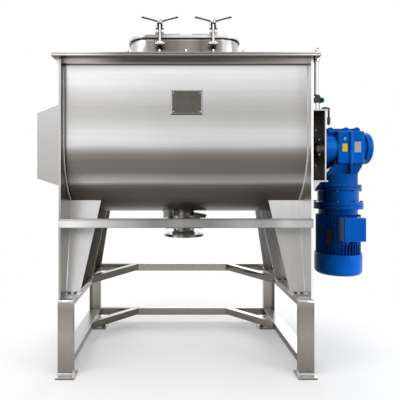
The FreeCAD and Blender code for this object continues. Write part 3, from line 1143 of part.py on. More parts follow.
def terminal_box():
    x = (f"{MOTOR_X} - box_width/2", f"{MOTOR_X} + box_width/2")
    z = (f"{BOX_CENTRE} - box_height/2", f"{BOX_CENTRE} + box_height/2")
    x_in = (f"{x[0]} + box_wall", f"{x[1]} - box_wall")
    z_in = (f"{z[0]} + box_wall", f"{z[1]} - box_wall")
    back = "-box_front + box_depth"
    split = "-box_front + box_lid"
    base = less(box(x, (split, back), z),
                box(x_in, (f"{split} - 1", f"{back} - box_wall"), z_in))
    gather("terminal_box", base)
    lid = box(x, ("-box_front", split), z)
    lid_round = round_edges(lid, 6, lambda edge: edge.BoundBox.YMax < lid.Shape.BoundBox.YMin + 0.01)
    keep("terminal_lid", less(lid_round, box(x_in, ("-box_front + box_wall", f"{split} + 1"), z_in)))
    gather("terminal_box", box((f"{MOTOR_X} - 36", f"{MOTOR_X} + 36"), (f"{back} - 40", f"{back} - 6"),
                               (f"{BOX_CENTRE} - 20", f"{BOX_CENTRE} + 20")))
    for step in ("- 34", "+ 30"):
        spot = (f"{MOTOR_X} {step}", f"{back} - 48")
        gather("terminal_box", union(hexagon("Z", 17, f"{z[0]} - 9", z[0], spot),
                                     rod("Z", 13, f"{z[0]} - 24", f"{z[0]} - 9", spot)))
    turn = FreeCAD.Rotation(FreeCAD.Vector(0, 0, 1), -RATING_PLATE_ANGLE)
    across = turn.multVec(FreeCAD.Vector(1, 0, 0))
    outward = turn.multVec(FreeCAD.Vector(0, -1, 0))
    plate = doc.addObject("Part::Box", "RatingPlate")
    bind(plate, {"Length": "rating_plate_width", "Width": "11", "Height": "rating_plate_height"})
    seat(plate, f"{MOTOR_X} - rating_plate_width/2*{across.x:.9f} + (fin_radius + 3)*{outward.x:.9f}",
         f"-rating_plate_width/2*{across.y:.9f} + (fin_radius + 3)*{outward.y:.9f}",
         "rating_plate_bottom", turn)
    gather("blank_labels", less(plate, rod("Z", "fin_radius", "motor_bottom", "motor_face", (MOTOR_X, 0))))


# ---------------------------------------------------------------- small parts

def nameplate():
    wall = f"-{SHELL_OUT}"
    z = ("plate_centre_height - plate_height/2", "plate_centre_height + plate_height/2")
    x = ("-plate_width/2 + 6", "plate_width/2 + 6")
    frame = less(box(x, (f"{wall} - 5", wall), z),
                 box((f"{x[0]} + plate_border", f"{x[1]} - plate_border"), (f"{wall} - 6", f"{wall} + 1"),
                     (f"{z[0]} + plate_border", f"{z[1]} - plate_border")))
    gather("nameplate_frame", frame)
    gather("nameplate", box((f"{x[0]} + plate_border", f"{x[1]} - plate_border"), (f"{wall} - 3", wall),
                          (f"{z[0]} + plate_border", f"{z[1]} - plate_border")))
    for rx in (f"{x[0]} + plate_border/2", f"{x[1]} - plate_border/2"):
        for rz in (f"{z[0]} + plate_border/2", f"{z[1]} - plate_border/2"):
            gather("nameplate_frame", rod("Y", 3.5, f"{wall} - 7", f"{wall} - 5", (rx, rz)))


def lifting_eyes():
    """Eye studs at the drive-end corners of the cover."""
    for y in ("-half_depth - eye_inset", "half_depth + eye_inset"):
        x = f"{END_OUT} + eye_inset*2/3"
        ring_item = doc.addObject("Part::Torus", "Eye")
        bind(ring_item, {"Radius1": "eye_radius", "Radius2": "eye_wire"})
        seat(ring_item, x, y, f"{DECK} + eye_lift", AXIS_TURNS["Y"])
        foot_disc = rod("Z", "eye_radius", DECK, f"{DECK} + 2*eye_wire", (x, y))
        gather("deck_fittings", union(foot_disc, ring_item))


trough_shell()
end_plate("end_plate_left", -1)
end_plate("end_plate_right", 1)
rim_and_cover()
deck_nuts()
stand()
feet()
cross_beam()
pedestals()
outlet()
hatch_neck()
hatch_lid()
hinge()
lid_handles()
clamps()
rotor()
seals()
tail_bearing()
tail_guard()
drive_bracket()
air_purge()
gear_unit()
adapter()
motor()
terminal_box()
nameplate()
lifting_eyes()
for name, members in families.items():
    keep(name, group(*members))

doc.recompute()
for item in doc.Objects:
    if "Invalid" in item.State or "Error" in item.State:
        raise RuntimeError(f"{item.Name} ({item.Label}) failed: {item.State}")
os.makedirs("parts", exist_ok=True)
for item in parts:
    if item.Shape.isNull() or not item.Shape.isValid():
        raise RuntimeError(f"{item.Label} has no valid shape")
    print(item.Label, len(item.Shape.Solids), round(item.Shape.Volume))
    item.Shape.exportStep(f"parts/{item.Label}.step")
print(len(parts), "sub-parts")
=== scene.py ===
import json
import math
import random

import bmesh
import bpy
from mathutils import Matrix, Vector


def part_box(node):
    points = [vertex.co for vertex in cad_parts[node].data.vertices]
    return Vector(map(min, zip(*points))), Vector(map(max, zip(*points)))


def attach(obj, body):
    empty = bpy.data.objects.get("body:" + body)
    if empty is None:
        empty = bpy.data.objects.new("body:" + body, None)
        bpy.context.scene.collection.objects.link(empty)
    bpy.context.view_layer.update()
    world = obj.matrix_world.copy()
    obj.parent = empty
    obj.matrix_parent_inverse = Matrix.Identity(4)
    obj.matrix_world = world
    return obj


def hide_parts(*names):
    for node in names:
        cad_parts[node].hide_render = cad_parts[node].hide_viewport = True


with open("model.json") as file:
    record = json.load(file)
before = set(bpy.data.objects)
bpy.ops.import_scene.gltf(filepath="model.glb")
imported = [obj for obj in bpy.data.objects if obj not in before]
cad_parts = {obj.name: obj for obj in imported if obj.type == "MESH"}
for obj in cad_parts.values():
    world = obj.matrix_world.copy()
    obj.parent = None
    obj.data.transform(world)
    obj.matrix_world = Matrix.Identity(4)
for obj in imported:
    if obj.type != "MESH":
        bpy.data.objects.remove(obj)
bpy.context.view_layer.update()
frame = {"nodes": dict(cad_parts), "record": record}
NODES = frame["nodes"]
SCENE = bpy.context.scene
SCENE.view_settings.view_transform = "Standard"

SHELL_LOW, SHELL_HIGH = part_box("trough_shell")
TROUGH_X = (SHELL_LOW.x + SHELL_HIGH.x) / 2
SHELL_RADIUS = (SHELL_HIGH.y - SHELL_LOW.y) / 2
AXIS_Z = SHELL_LOW.z + SHELL_RADIUS
MM = 0.001
WHITE = (1, 1, 1, 1)


# ---------------------------------------------------------------- camera, floor and light

def make_camera():
    """Level with the middle of the machine, a little left of the trough's middle, shifted to frame it."""
    data = bpy.data.cameras.new("camera")
    data.sensor_width = 36.0
    data.lens = 37.5
    data.shift_x = 0.070
    data.shift_y = -0.035
    data.clip_end = 100
    left, distance, height = 0.074, 2.649, 1.003
    camera = bpy.data.objects.new("camera", data)
    camera.location = (TROUGH_X - left, -distance, height)
    camera.rotation_euler = (math.pi / 2, 0, 0)
    SCENE.collection.objects.link(camera)
    SCENE.camera = camera


def node_tree(holder):
    holder.use_nodes = True
    tree = holder.node_tree
    tree.nodes.clear()
    return tree


def add(tree, kind, **sockets):
    """A node with some inputs set or linked; iN is an input by number, and _ stands for a space."""
    node = tree.nodes.new(kind)
    for name, value in sockets.items():
        numbered = name[0] == "i" and name[1:].isdigit()
        socket = node.inputs[int(name[1:])] if numbered else node.inputs[name.replace("_", " ")]
        if isinstance(value, bpy.types.NodeSocket):
            tree.links.new(value, socket)
        else:
            socket.default_value = value
    return node


def math_node(tree, operation, a, b):
    node = add(tree, "ShaderNodeMath", i0=a, i1=b)
    node.operation = operation
    return node.outputs[0]


def seen_directly(tree):
    """1 for camera, glossy and transmission rays."""
    path = tree.nodes.new("ShaderNodeLightPath")
    first = math_node(tree, "MAXIMUM", path.outputs["Is Camera Ray"], path.outputs["Is Glossy Ray"])
    return math_node(tree, "MAXIMUM", first, path.outputs["Is Transmission Ray"])


def make_world():
    """White where it is seen directly or reflected, dimmer as a light."""
    world = bpy.data.worlds.new("studio")
    SCENE.world = world
    tree = node_tree(world)
    seen = add(tree, "ShaderNodeBackground", Color=WHITE, Strength=1.0)
    light = add(tree, "ShaderNodeBackground", Color=(0.97, 0.98, 1, 1), Strength=0.58)
    mix = add(tree, "ShaderNodeMixShader", Fac=seen_directly(tree), i1=light.outputs[0], i2=seen.outputs[0])
    add(tree, "ShaderNodeOutputWorld", Surface=mix.outputs[0])


def floor_material():
    """White floor, shaded near the machine and fading into the white surroundings."""
    material = bpy.data.materials.new("floor_white")
    tree = node_tree(material)
    cloud = add(tree, "ShaderNodeTexNoise", Scale=0.6, Detail=2.0)
    tone = add(tree, "ShaderNodeMapRange", Value=cloud.outputs["Fac"], From_Min=0.3, From_Max=0.7,
               To_Min=0.90, To_Max=0.93)
    surface = add(tree, "ShaderNodeBsdfPrincipled", Base_Color=tone.outputs["Result"], Roughness=0.85)
    glow = add(tree, "ShaderNodeEmission", Color=WHITE, Strength=0.19)
    lit = add(tree, "ShaderNodeAddShader", i0=surface.outputs[0], i1=glow.outputs[0])
    place = tree.nodes.new("ShaderNodeTexCoord")
    away = tree.nodes.new("ShaderNodeVectorMath")
    away.operation = "LENGTH"
    tree.links.new(place.outputs["Object"], away.inputs[0])
    fade_start, fade_end = 0.8, 1.9
    fade = add(tree, "ShaderNodeMapRange", Value=away.outputs["Value"], From_Min=fade_start,
               From_Max=fade_end)
    fade.interpolation_type = "SMOOTHSTEP"
    white = add(tree, "ShaderNodeEmission", Color=WHITE, Strength=1.0)
    shown = add(tree, "ShaderNodeMixShader", Fac=fade.outputs["Result"], i1=lit.outputs[0],
                i2=white.outputs[0])
    mix = add(tree, "ShaderNodeMixShader", Fac=seen_directly(tree), i1=surface.outputs[0],
              i2=shown.outputs[0])
    add(tree, "ShaderNodeOutputMaterial", Surface=mix.outputs[0])
    return material


def make_floor():
    """A floor that reaches far beyond the picture."""
    half_width, front, back = 14, -10, 18
    corners = [(-half_width, front, 0), (half_width, front, 0),
               (half_width, back, 0), (-half_width, back, 0)]
    mesh = bpy.data.meshes.new("floor")
    mesh.from_pydata(corners, [], [(0, 1, 2, 3)])
    mesh.materials.append(floor_material())
    floor = bpy.data.objects.new("floor", mesh)
    SCENE.collection.objects.link(floor)


def area_light(name, place, aim, size, power):
    """A rectangular lamp at a place, aimed at another."""
    data = bpy.data.lights.new(name, "AREA")
    data.shape = "RECTANGLE"
    data.size, data.size_y = size
    data.energy = power
    lamp = bpy.data.objects.new(name, data)
    lamp.location = place
    lamp.rotation_euler = (Vector(aim) - Vector(place)).to_track_quat("-Z", "Y").to_euler()
    SCENE.collection.objects.link(lamp)


def make_lights():
    area_light("key", place=(-2.6, -2.8, 4.8), aim=(0, 0, 0.9), size=(3.0, 2.6), power=62)
    area_light("fill", place=(3.4, -3.0, 2.4), aim=(0, 0, 0.9), size=(1.4, 2.6), power=34)
    area_light("top", place=(0, 0.6, 4.6), aim=(0, 0, 0.8), size=(4.6, 4.0), power=64)
    area_light("rear", place=(0.6, 4.2, 2.6), aim=(0, 0, 1.0), size=(3.0, 2.0), power=45)


make_camera()
make_world()
make_floor()
make_lights()


# ---------------------------------------------------------------- materials

def new_material(name):
    material = bpy.data.materials.new(name)
    return material, node_tree(material)


def coords(tree, scale):
    place = tree.nodes.new("ShaderNodeTexCoord")
    return add(tree, "ShaderNodeMapping", Vector=place.outputs["Object"], Scale=scale).outputs[0]


def object_axes(tree):
    """X, Y and Z of the shaded point, in metres of the shared frame at rest."""
    place = tree.nodes.new("ShaderNodeTexCoord")
    return add(tree, "ShaderNodeSeparateXYZ", Vector=place.outputs["Object"]).outputs


def noise(tree, scale, size, detail, rough=0.5):
    pattern = add(tree, "ShaderNodeTexNoise", Vector=coords(tree, scale), Scale=size, Detail=detail,
                  Roughness=rough)
    return pattern.outputs["Fac"]


def spread(tree, value, low, high, start=0.3, end=0.7):
    """A noise's middle range stretched from low to high."""
    return add(tree, "ShaderNodeMapRange", Value=value, From_Min=start, From_Max=end,
               To_Min=low, To_Max=high).outputs["Result"]


def ramp(tree, value, stops):
    """Colours along a value; stops are (place, colour)."""
    node = tree.nodes.new("ShaderNodeValToRGB")
    tree.links.new(value, node.inputs[0])
    elements = node.color_ramp.elements
    while len(elements) < len(stops):
        elements.new(0.5)
    for element, (place, color) in zip(elements, stops):
        element.position = place
        element.color = (*color, 1)
    return node.outputs[0]


def mixed(tree, kind, factor, first, second):
    """Two colours mixed, or multiplied, by a factor."""
    node = tree.nodes.new("ShaderNodeMix")
    node.data_type = "RGBA"
    node.blend_type = kind
    for socket, value in ((node.inputs[0], factor), (node.inputs[6], first), (node.inputs[7], second)):
        if isinstance(value, bpy.types.NodeSocket):
            tree.links.new(value, socket)
        else:
            socket.default_value = value
    return node.outputs[2]


def finish_surface(tree, color, rough, metallic, bump, strength, distance=0.001, **sockets):
    surface = add(tree, "ShaderNodeBsdfPrincipled", Base_Color=color, Roughness=rough, Metallic=metallic,
                  **sockets)
    relief = add(tree, "ShaderNodeBump", Strength=strength, Distance=distance, Height=bump)
    tree.links.new(relief.outputs[0], surface.inputs["Normal"])
    add(tree, "ShaderNodeOutputMaterial", Surface=surface.outputs[0])


GRAIN = {"x": (3, 900, 900), "y": (900, 3, 900), "z": (900, 900, 3)}
STREAK = {"x": (0.8, 45, 45), "y": (45, 0.8, 45), "z": (45, 45, 0.8)}
POLISHED_TINT = (1, 1, 0.99)


def grey(level):
    return tuple(level * part for part in POLISHED_TINT)


def warm_grey(level):
    """Steel's grey at a brightness: the darker, the warmer."""
    warmth = 0.16 * max(0.0, 1 - level / 0.6)
    return (level * (1 + warmth * 0.8), level * (1 - warmth * 0.1), level * (1 - warmth))


def along_axis(tree, axis, waver):
    """Place along one of the object's axes, softly uneven."""
    shift = spread(tree, noise(tree, (0.7, 0.7, 2.0), 1.6, 1.0), -waver, waver)
    return math_node(tree, "ADD", object_axes(tree)[axis], shift)


def curve_along(tree, node, axis, stops, waver, color_of):
    """Colours along an axis, from stops of (millimetres from the node's lowest corner, brightness)."""
    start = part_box(node)[0]["XYZ".index(axis)]
    low, high = stops[0][0], stops[-1][0]
    share = add(tree, "ShaderNodeMapRange", Value=along_axis(tree, axis, waver), From_Min=start + low * MM,
                From_Max=start + high * MM)
    return ramp(tree, share.outputs["Result"],
                [((place - low) / (high - low), color_of(level)) for place, level in stops])


def tone_along(tree, node, axis, stops, waver):
    """Steel's greys along an axis: painted reflections, light and shade."""
    return curve_along(tree, node, axis, stops, waver, warm_grey)


def multiplied_along(tree, color, node, axis, stops, waver=0.004):
    """Painted light and shade: brightness multiplied along an axis; stops may rise above 1."""
    peak = max(level for place, level in stops)
    factor = curve_along(tree, node, axis, stops, waver, lambda level: (level / peak,) * 3)
    raised = mixed(tree, "MULTIPLY", 1.0, color, (peak, peak, peak, 1))
    return mixed(tree, "MULTIPLY", 1.0, raised, factor)


def normal_part(tree, axis, flat=True):
    """An axis' share of the surface's direction: the face's own, or the smoothed one."""
    shape = tree.nodes.new("ShaderNodeNewGeometry")
    normal = shape.outputs["True Normal" if flat else "Normal"]
    return add(tree, "ShaderNodeSeparateXYZ", Vector=normal).outputs[axis]


# Where a face begins to look along an axis, or against it, and where it does so fully
ALONG = (0.5, 0.9)
AGAINST = (-0.5, -0.9)


def facing(tree, start, end, axis="Z", flat=True):
    """0 to 1 as a face's normal turns from start to end of its share along an axis."""
    return add(tree, "ShaderNodeMapRange", Value=normal_part(tree, axis, flat), From_Min=start,
               From_Max=end).outputs["Result"]


def rounded_edge(tree):
    """1 on the rounding between a box's faces, 0 on the faces."""
    shares = [math_node(tree, "ABSOLUTE", normal_part(tree, axis, flat=False), 0.0) for axis in "XYZ"]
    largest = math_node(tree, "MAXIMUM", math_node(tree, "MAXIMUM", shares[0], shares[1]), shares[2])
    return add(tree, "ShaderNodeMapRange", Value=largest, From_Min=0.985, From_Max=0.90).outputs["Result"]


def steel(name, grain="x", level=0.6, rough=(0.24, 0.36), node=None, tones=None, axis="Z", tones_right=None,
          under=None, under_tones=None, right=None, edge=None, across=None, upward=None, top=None,
          streaks=0.5, uneven=0.08, waver=0.003, metallic=1.0):
    """Brushed stainless: fine scratches and soft streaks along the grain over broad variation.
    level is its brightness, or else tones along an axis as painted reflections, light and shade, with
    tones_right beyond the trough's middle. top, under and right are painted light and shade on faces that
    look up, down or to the right, under_tones along Y painted shade on faces that look down, and edge a
    painted highlight on rounded edges. across multiplies all but the tops along X, and upward along Z, as
    painted light and shade.
    Places are millimetres from the node's lowest corner."""
    material, tree = new_material(name)
    lines = noise(tree, GRAIN[grain], 1.0, 4.0, 0.6)
    bands = noise(tree, STREAK[grain], 1.0, 3.0, 0.55)
    broad = noise(tree, (1, 1, 1), 2.2, 2.0)
    wander = math_node(tree, "ADD", math_node(tree, "MULTIPLY", bands, streaks),
                       math_node(tree, "MULTIPLY", broad, 1 - streaks))
    base = (*warm_grey(level), 1)
    if tones is not None:
        base = tone_along(tree, node, axis, tones, waver)
    if tones_right is not None:
        beyond = math_node(tree, "GREATER_THAN", object_axes(tree)["X"], TROUGH_X)
        base = mixed(tree, "MIX", beyond, base, tone_along(tree, node, axis, tones_right, waver))
    if under is not None:
        base = mixed(tree, "MIX", facing(tree, *AGAINST), base, (*warm_grey(under), 1))
    if under_tones is not None:
        below = tone_along(tree, node, "Y", under_tones, 0.0004)
        base = mixed(tree, "MIX", facing(tree, *AGAINST), base, below)
    if right is not None:
        base = mixed(tree, "MIX", facing(tree, *ALONG, "X"), base, (*warm_grey(right), 1))
    if edge is not None:
        base = mixed(tree, "MIX", rounded_edge(tree), base, (*warm_grey(edge), 1))
    if across is not None:
        base = multiplied_along(tree, base, node, "X", across)
    if upward is not None:
        base = multiplied_along(tree, base, node, "Z", upward, 0.0006)
    if top is not None:
        base = mixed(tree, "MIX", facing(tree, *ALONG), base, (*warm_grey(top), 1))
    shade = ramp(tree, spread(tree, wander, 0, 1, 0.36, 0.64),
                 [(0, (1 - uneven,) * 3), (1, (1 + uneven * 0.3,) * 3)])
    color = mixed(tree, "MULTIPLY", 1.0, base, shade)
    finish_surface(tree, color, spread(tree, lines, *rough), metallic, lines, 0.12, 0.0004)
    return material


def shaded_by_side(tree, color):
    """Painted shade: the enamel's deeper blue where it turns left or down, as beside the dark trough."""
    left = ramp(tree, facing(tree, -1.0, 0.3, "X", flat=False),
                [(0, (0.12,) * 3), (0.45, (0.50,) * 3), (1, (1,) * 3)])
    down = ramp(tree, facing(tree, -1.0, 0.0, "Z", flat=False), [(0, (0.35,) * 3), (1, (1,) * 3)])
    return mixed(tree, "MULTIPLY", 1.0, mixed(tree, "MULTIPLY", 1.0, color, left), down)


BLUE_GLOSS = {"Specular_IOR_Level": 0.28, "Specular_Tint": (0.10, 0.42, 1.0, 1.0)}
BLUE_ROUGH = (0.16, 0.26)


def paint(name, dark=(0.0006, 0.122, 0.61), light=(0.0010, 0.156, 0.74), node=None, across=None,
          upward=None, shaded=True):
    """Gloss enamel over a slightly uneven casting, with painted shade where it turns left or down unless
    shaded is off; across darkens it along X and upward along Z as painted shade, with places in millimetres
    from the node's lowest corner."""
    material, tree = new_material(name)
    cast = noise(tree, (1, 1, 1), 60, 2.0)
    broad = noise(tree, (1, 1, 1), 7, 2.0)
    color = ramp(tree, spread(tree, broad, 0, 1), [(0, dark), (1, light)])
    if shaded:
        color = shaded_by_side(tree, color)
    if across is not None:
        color = multiplied_along(tree, color, node, "X", across)
    if upward is not None:
        color = multiplied_along(tree, color, node, "Z", upward)
    finish_surface(tree, color, spread(tree, cast, *BLUE_ROUGH), 0.0, cast, 0.08, 0.0006, **BLUE_GLOSS)
    return material


def plain(name, dark, light, rough=(0.45, 0.6), size=120, metallic=0.0, strength=0.15):
    """Rubber, plastic, packing or casting: one colour, lightly grained."""
    material, tree = new_material(name)
    grain = noise(tree, (1, 1, 1), size, 3.0)
    color = ramp(tree, spread(tree, grain, 0, 1), [(0, dark), (1, light)])
    finish_surface(tree, color, spread(tree, grain, *rough), metallic, grain, strength, 0.0005)
    return material


# Tones, tops, undersides, rounded edges, across and upward in the steels below are painted reflections,
# light and shade.
# The tones were set by comparing renders with the photograph.

# Painted reflections on the shell, dark on the lower curve and light up the wall; painted shade at its left
# end; a painted highlight and a painted shadow line under the rim.
SHELL = steel(
    "shell_steel", "x", rough=(0.30, 0.42), node="trough_shell", waver=0.006,
    tones=[(-2, 0.16), (18, 0.13), (38, 0.090), (83, 0.082), (141, 0.110), (163, 0.18), (181, 0.44),
           (201, 0.31), (233, 0.155), (297, 0.155), (330, 0.22), (353, 0.36), (375, 0.62), (415, 0.71),
           (453, 0.69), (491, 0.58), (540, 0.49), (589, 0.50), (654, 0.62), (719, 0.77), (773, 0.90),
           (843, 0.98)],
    across=[(0, 0.28), (12.5, 0.32), (21.5, 1.15), (312, 1.10), (662, 1.0), (1012, 0.95), (1332, 0.88)],
    upward=[(-7, 1.0), (763, 1.0), (801, 1.15), (806.5, 1.15), (808.5, 0.12), (815.5, 0.12), (818, 0.5),
            (843, 0.6)])
# Painted reflections and shade on the rim: lighter tops, painted shade on the undersides near the front,
# brighter towards both ends.
DECK_STEEL = steel(
    "deck_steel", "x", node="rim_flange", top=0.38, waver=0.0004,
    tones=[(0, 0.34), (12.5, 0.27), (15, 0.28), (33, 0.36)],
    under_tones=[(0, 0.006), (17, 0.008), (35, 0.016), (52, 0.07), (72, 0.18), (87, 0.30), (887, 0.36),
                 (974, 0.02)],
    across=[(9, 2.6), (154, 2.9), (226, 2.4), (299, 1.7), (371, 1.1), (454, 1.0), (854, 1.0), (954, 1.3),
            (1154, 1.7), (1244, 2.1), (1404, 2.8)])
# Painted reflection stripes along the hatch neck and a painted highlight band near its top.
NECK_STEEL = steel(
    "neck_steel", "z", node="hatch_neck", axis="X",
    tones=[(-2.5, 0.85), (20.5, 0.50), (43.5, 0.74), (66.5, 0.92), (82.5, 0.48), (112.5, 0.28),
           (134.5, 0.28), (157.5, 0.17), (203.5, 0.15), (272.5, 0.20), (341.5, 0.29), (387.5, 0.22),
           (410.5, 0.16), (447.5, 0.22), (502.5, 0.22), (525.5, 0.34), (542.5, 0.74), (571.5, 0.80),
           (594.5, 0.42), (617.5, 0.60), (637.5, 0.50)],
    upward=[(0, 1.0), (136, 1.0), (138.5, 1.6), (142.5, 1.6), (145, 0.8), (160, 0.8)])
# Painted reflections along the lid, lighter tops, and painted shade on faces that look down and along its
# lower lip.
LID_STEEL = steel(
    "lid_steel", "x", node="hatch_lid", axis="X", top=0.38, under=0.70,
    tones=[(0, 0.95), (40, 0.70), (80, 0.72), (105, 0.34), (150, 0.36), (210, 0.58), (280, 0.72),
           (380, 0.76), (480, 0.85), (580, 0.95), (660, 0.95)],
    upward=[(0, 0.55), (3.5, 0.55), (5.5, 1.0), (31, 1.0)])
# The stand's steels below carry painted light and shade: lighter tops, painted highlights on rounded edges,
# dark undersides, and tones along Z and X.
LEG_STEEL = steel(
    "leg_steel", "z", node="front_legs", top=0.62, edge=0.62, streaks=0.15, uneven=0.05,
    tones=[(-10, 0.23), (70, 0.25), (196, 0.325), (290, 0.28), (338, 0.25), (375, 0.32), (390, 0.55)],
    across=[(0, 1.06), (1358, 0.90)])
REAR_STEEL = steel("rear_steel", "z", node="rear_legs", top=0.50,
                   tones=[(-10, 0.18), (90, 0.28), (350, 0.34), (430, 0.30)])
RAIL_STEEL = steel("rail_steel", "y", 0.22, node="side_rails", top=0.62, under=0.06, edge=0.60,
                   across=[(0, 1.15), (228, 1.1), (1028, 0.9), (1278, 0.50), (1358, 0.50)])
BRACE_STEEL = steel("brace_steel", "y", 0.20, node="corner_braces", top=0.62, under=0.06,
                    across=[(-82, 0.72), (148, 0.72), (948, 1.05), (1278, 1.0)])
FOOT_STEEL = steel("foot_steel", "x", 0.22, top=0.98, edge=0.5, metallic=0.6)
# Painted reflections on the cross beam, up its height and along X, with lighter tops.
BEAM_STEEL = steel(
    "beam_steel", "x", node="cross_beam", top=0.7,
    tones=[(0, 0.50), (5, 1.0), (35, 0.98), (42, 0.66), (48, 0.45)],
    across=[(-2, 0.78), (61, 0.92), (124, 0.82), (188, 0.67), (251, 0.58), (314, 0.49), (378, 0.42),
            (441, 0.32), (504, 0.25), (568, 0.27), (631, 0.32), (695, 0.27), (803, 0.25), (885, 0.33),
            (948, 0.40), (1011, 0.42), (1075, 0.36), (1138, 0.42), (1201, 0.62), (1265, 0.54), (1348, 0.50)])
# Painted light and shade on the pedestals from front to back, set apart for the right one, with lighter tops
# and painted edge highlights.
PEDESTAL_STEEL = steel(
    "pedestal_steel", "z", node="pedestals", axis="Y", top=0.8, edge=0.8,
    tones=[(22, 0.66), (162, 0.68), (192, 0.27), (782, 0.17)],
    tones_right=[(22, 0.38), (102, 0.44), (162, 0.74), (182, 0.50), (782, 0.52)])
# The end plates are lit and shaded copies of one steel: painted shade on faces that look right, the left
# plate darker towards the bottom, the right one painted light.
END_LEFT = steel("end_steel_left", "z", node="end_plate_left", right=0.22,
                 tones=[(-3, 0.38), (457, 0.40), (557, 0.55), (1277, 0.66)])
END_RIGHT = steel("end_steel_right", "z", 0.98, right=0.58)
# Painted light on the tail guard, lighter towards the top, and painted shade on faces that look down.
GUARD_STEEL = steel("guard_steel", "z", node="tail_guard", under=0.25, streaks=0.2, uneven=0.05,
                    tones=[(0, 0.47), (262, 0.54), (504, 0.64)])
# Painted shade inside the bracket, between its front and back edges, with lighter tops.
BRACKET_STEEL = steel("bracket_steel", "z", node="bracket_plates", axis="Y", top=0.5, waver=0.0002,
                      tones=[(0, 0.60), (18, 0.52), (28, 0.27), (425.8, 0.27), (426, 0.5)])
# Painted reflection stripes round the outlet along X, lighter tops and painted shade underneath.
OUTLET_STEEL = steel(
    "outlet_steel", "z", rough=(0.12, 0.22), node="outlet_spool", axis="X", top=0.75, under=0.10,
    uneven=0.2, metallic=0.55,
    tones=[(-15.5, 0.55), (19.5, 0.50), (34.5, 0.14), (46.5, 0.10), (52.5, 0.14), (62.5, 0.45),
           (69.5, 0.70), (77.5, 0.62), (82.5, 0.45), (88.5, 0.14), (98.5, 0.26), (108.5, 0.36),
           (116.5, 0.20), (124.5, 0.07), (146.5, 0.06), (164.5, 0.14), (189.5, 0.20), (204.5, 0.10),
           (234.5, 0.05)])
PLAIN_STEEL = steel("steel_grain_x", "x", 0.45)
WELD = steel("weld_bead", "z", 0.78, (0.30, 0.44), uneven=0.3, streaks=0.2)
TURNED = steel("turned_steel", "z", 0.42, (0.16, 0.28))


def reflecting(name, bright=0.85, side=0.10, under=0.08, left=None):
    """Polished steel with painted reflections and shade: bright where it faces front, back or up, dark where
    it turns aside or down.
    """
    material, tree = new_material(name)
    spots = noise(tree, (1, 1, 1), 70, 3.0)
    left = side if left is None else left
    turn = facing(tree, -1, 1, "X", flat=False)
    base = ramp(tree, turn, [
        (0.0, grey(left)), (0.15, grey(min(left * 2.2, bright))), (0.28, grey(bright * 0.80)),
        (0.5, grey(bright)), (0.72, grey(bright * 0.80)), (0.85, grey(min(side * 2.2, bright))),
        (1.0, grey(side))])
    base = mixed(tree, "MIX", facing(tree, 0.3, 0.9, "Z", flat=False), base, (*grey(bright), 1))
    base = mixed(tree, "MIX", facing(tree, -0.12, -0.50, "Z", flat=False), base, (*grey(under), 1))
    shade = ramp(tree, spread(tree, spots, 0, 1), [(0, (0.88,) * 3), (1, (1.0,) * 3)])
    color = mixed(tree, "MULTIPLY", 1.0, base, shade)
    finish_surface(tree, color, spread(tree, spots, 0.14, 0.26), 1.0, spots, 0.05, 0.0003)
    return material


# Each of these steels carries painted reflections and shade by which way its faces turn.
BRIGHT = reflecting("bright_steel")
CAST_NUT = reflecting("cast_nut_steel", bright=0.62, side=0.30, under=0.05)
LUG_STEEL = reflecting("lug_steel", bright=0.82, side=0.55, under=0.40)
FORK_STEEL = reflecting("fork_steel", bright=0.92, side=0.86, under=0.75)
HANDLE_STEEL = reflecting("handle_steel", bright=0.20, side=0.14, under=0.10)
# Painted highlight on the moulding's left side and top, painted shadow along its bottom.
FRAME_STEEL = reflecting("frame_steel", bright=0.98, side=0.22, under=0.010, left=0.95)
# All the enamels but the terminal box's carry painted shade where they turn left or down.
BLUE = paint("blue_enamel")
# Painted shade on the left side of the motor and of the lantern.
MOTOR_BLUE = paint("motor_enamel", node="motor_frame",
                   across=[(-0.5, 0.20), (54.5, 0.28), (94.5, 0.55), (139.5, 0.95), (299.5, 1.0)])
LANTERN_BLUE = paint("lantern_enamel", node="motor_adapter",
                     across=[(-0.5, 0.22), (54.5, 0.32), (94.5, 0.56), (139.5, 0.88), (299.5, 0.98)])
# A lighter copy of the same blue on the fan cowl: painted light.
COWL_BLUE = paint("cowl_enamel", (0.0007, 0.150, 0.75), (0.0012, 0.190, 0.90))
# Painted shade on the gear case's lower part, under the gear block.
CASE_BLUE = paint("case_enamel", node="gear_housing",
                  upward=[(-5, 0.72), (135, 0.58), (149, 1.0), (385, 1.0)])
# A darker copy of the blue on the terminal box, with painted shade along its left side.
BOX_BLUE = paint("box_enamel", (0.0005, 0.078, 0.40), (0.0008, 0.100, 0.48), node="terminal_box",
                 shaded=False, across=[(-6.5, 0.3), (5, 0.3), (7, 1.2), (133.5, 1.2)])
RUBBER = plain("white_silicone", (0.62, 0.62, 0.60), (0.74, 0.74, 0.72))
DARK = plain("dark_casting", (0.035, 0.035, 0.034), (0.07, 0.07, 0.066), (0.35, 0.5), size=60)
BLACK = plain("black_plastic", (0.012, 0.012, 0.013), (0.03, 0.03, 0.032), (0.3, 0.45))
PACKING = plain("packing", (0.16, 0.16, 0.15), (0.26, 0.26, 0.25), (0.7, 0.85))
PLATE = plain("dark_plate", (0.105, 0.095, 0.085), (0.135, 0.122, 0.11), (0.32, 0.42), size=30,
              metallic=0.85, strength=0.05)


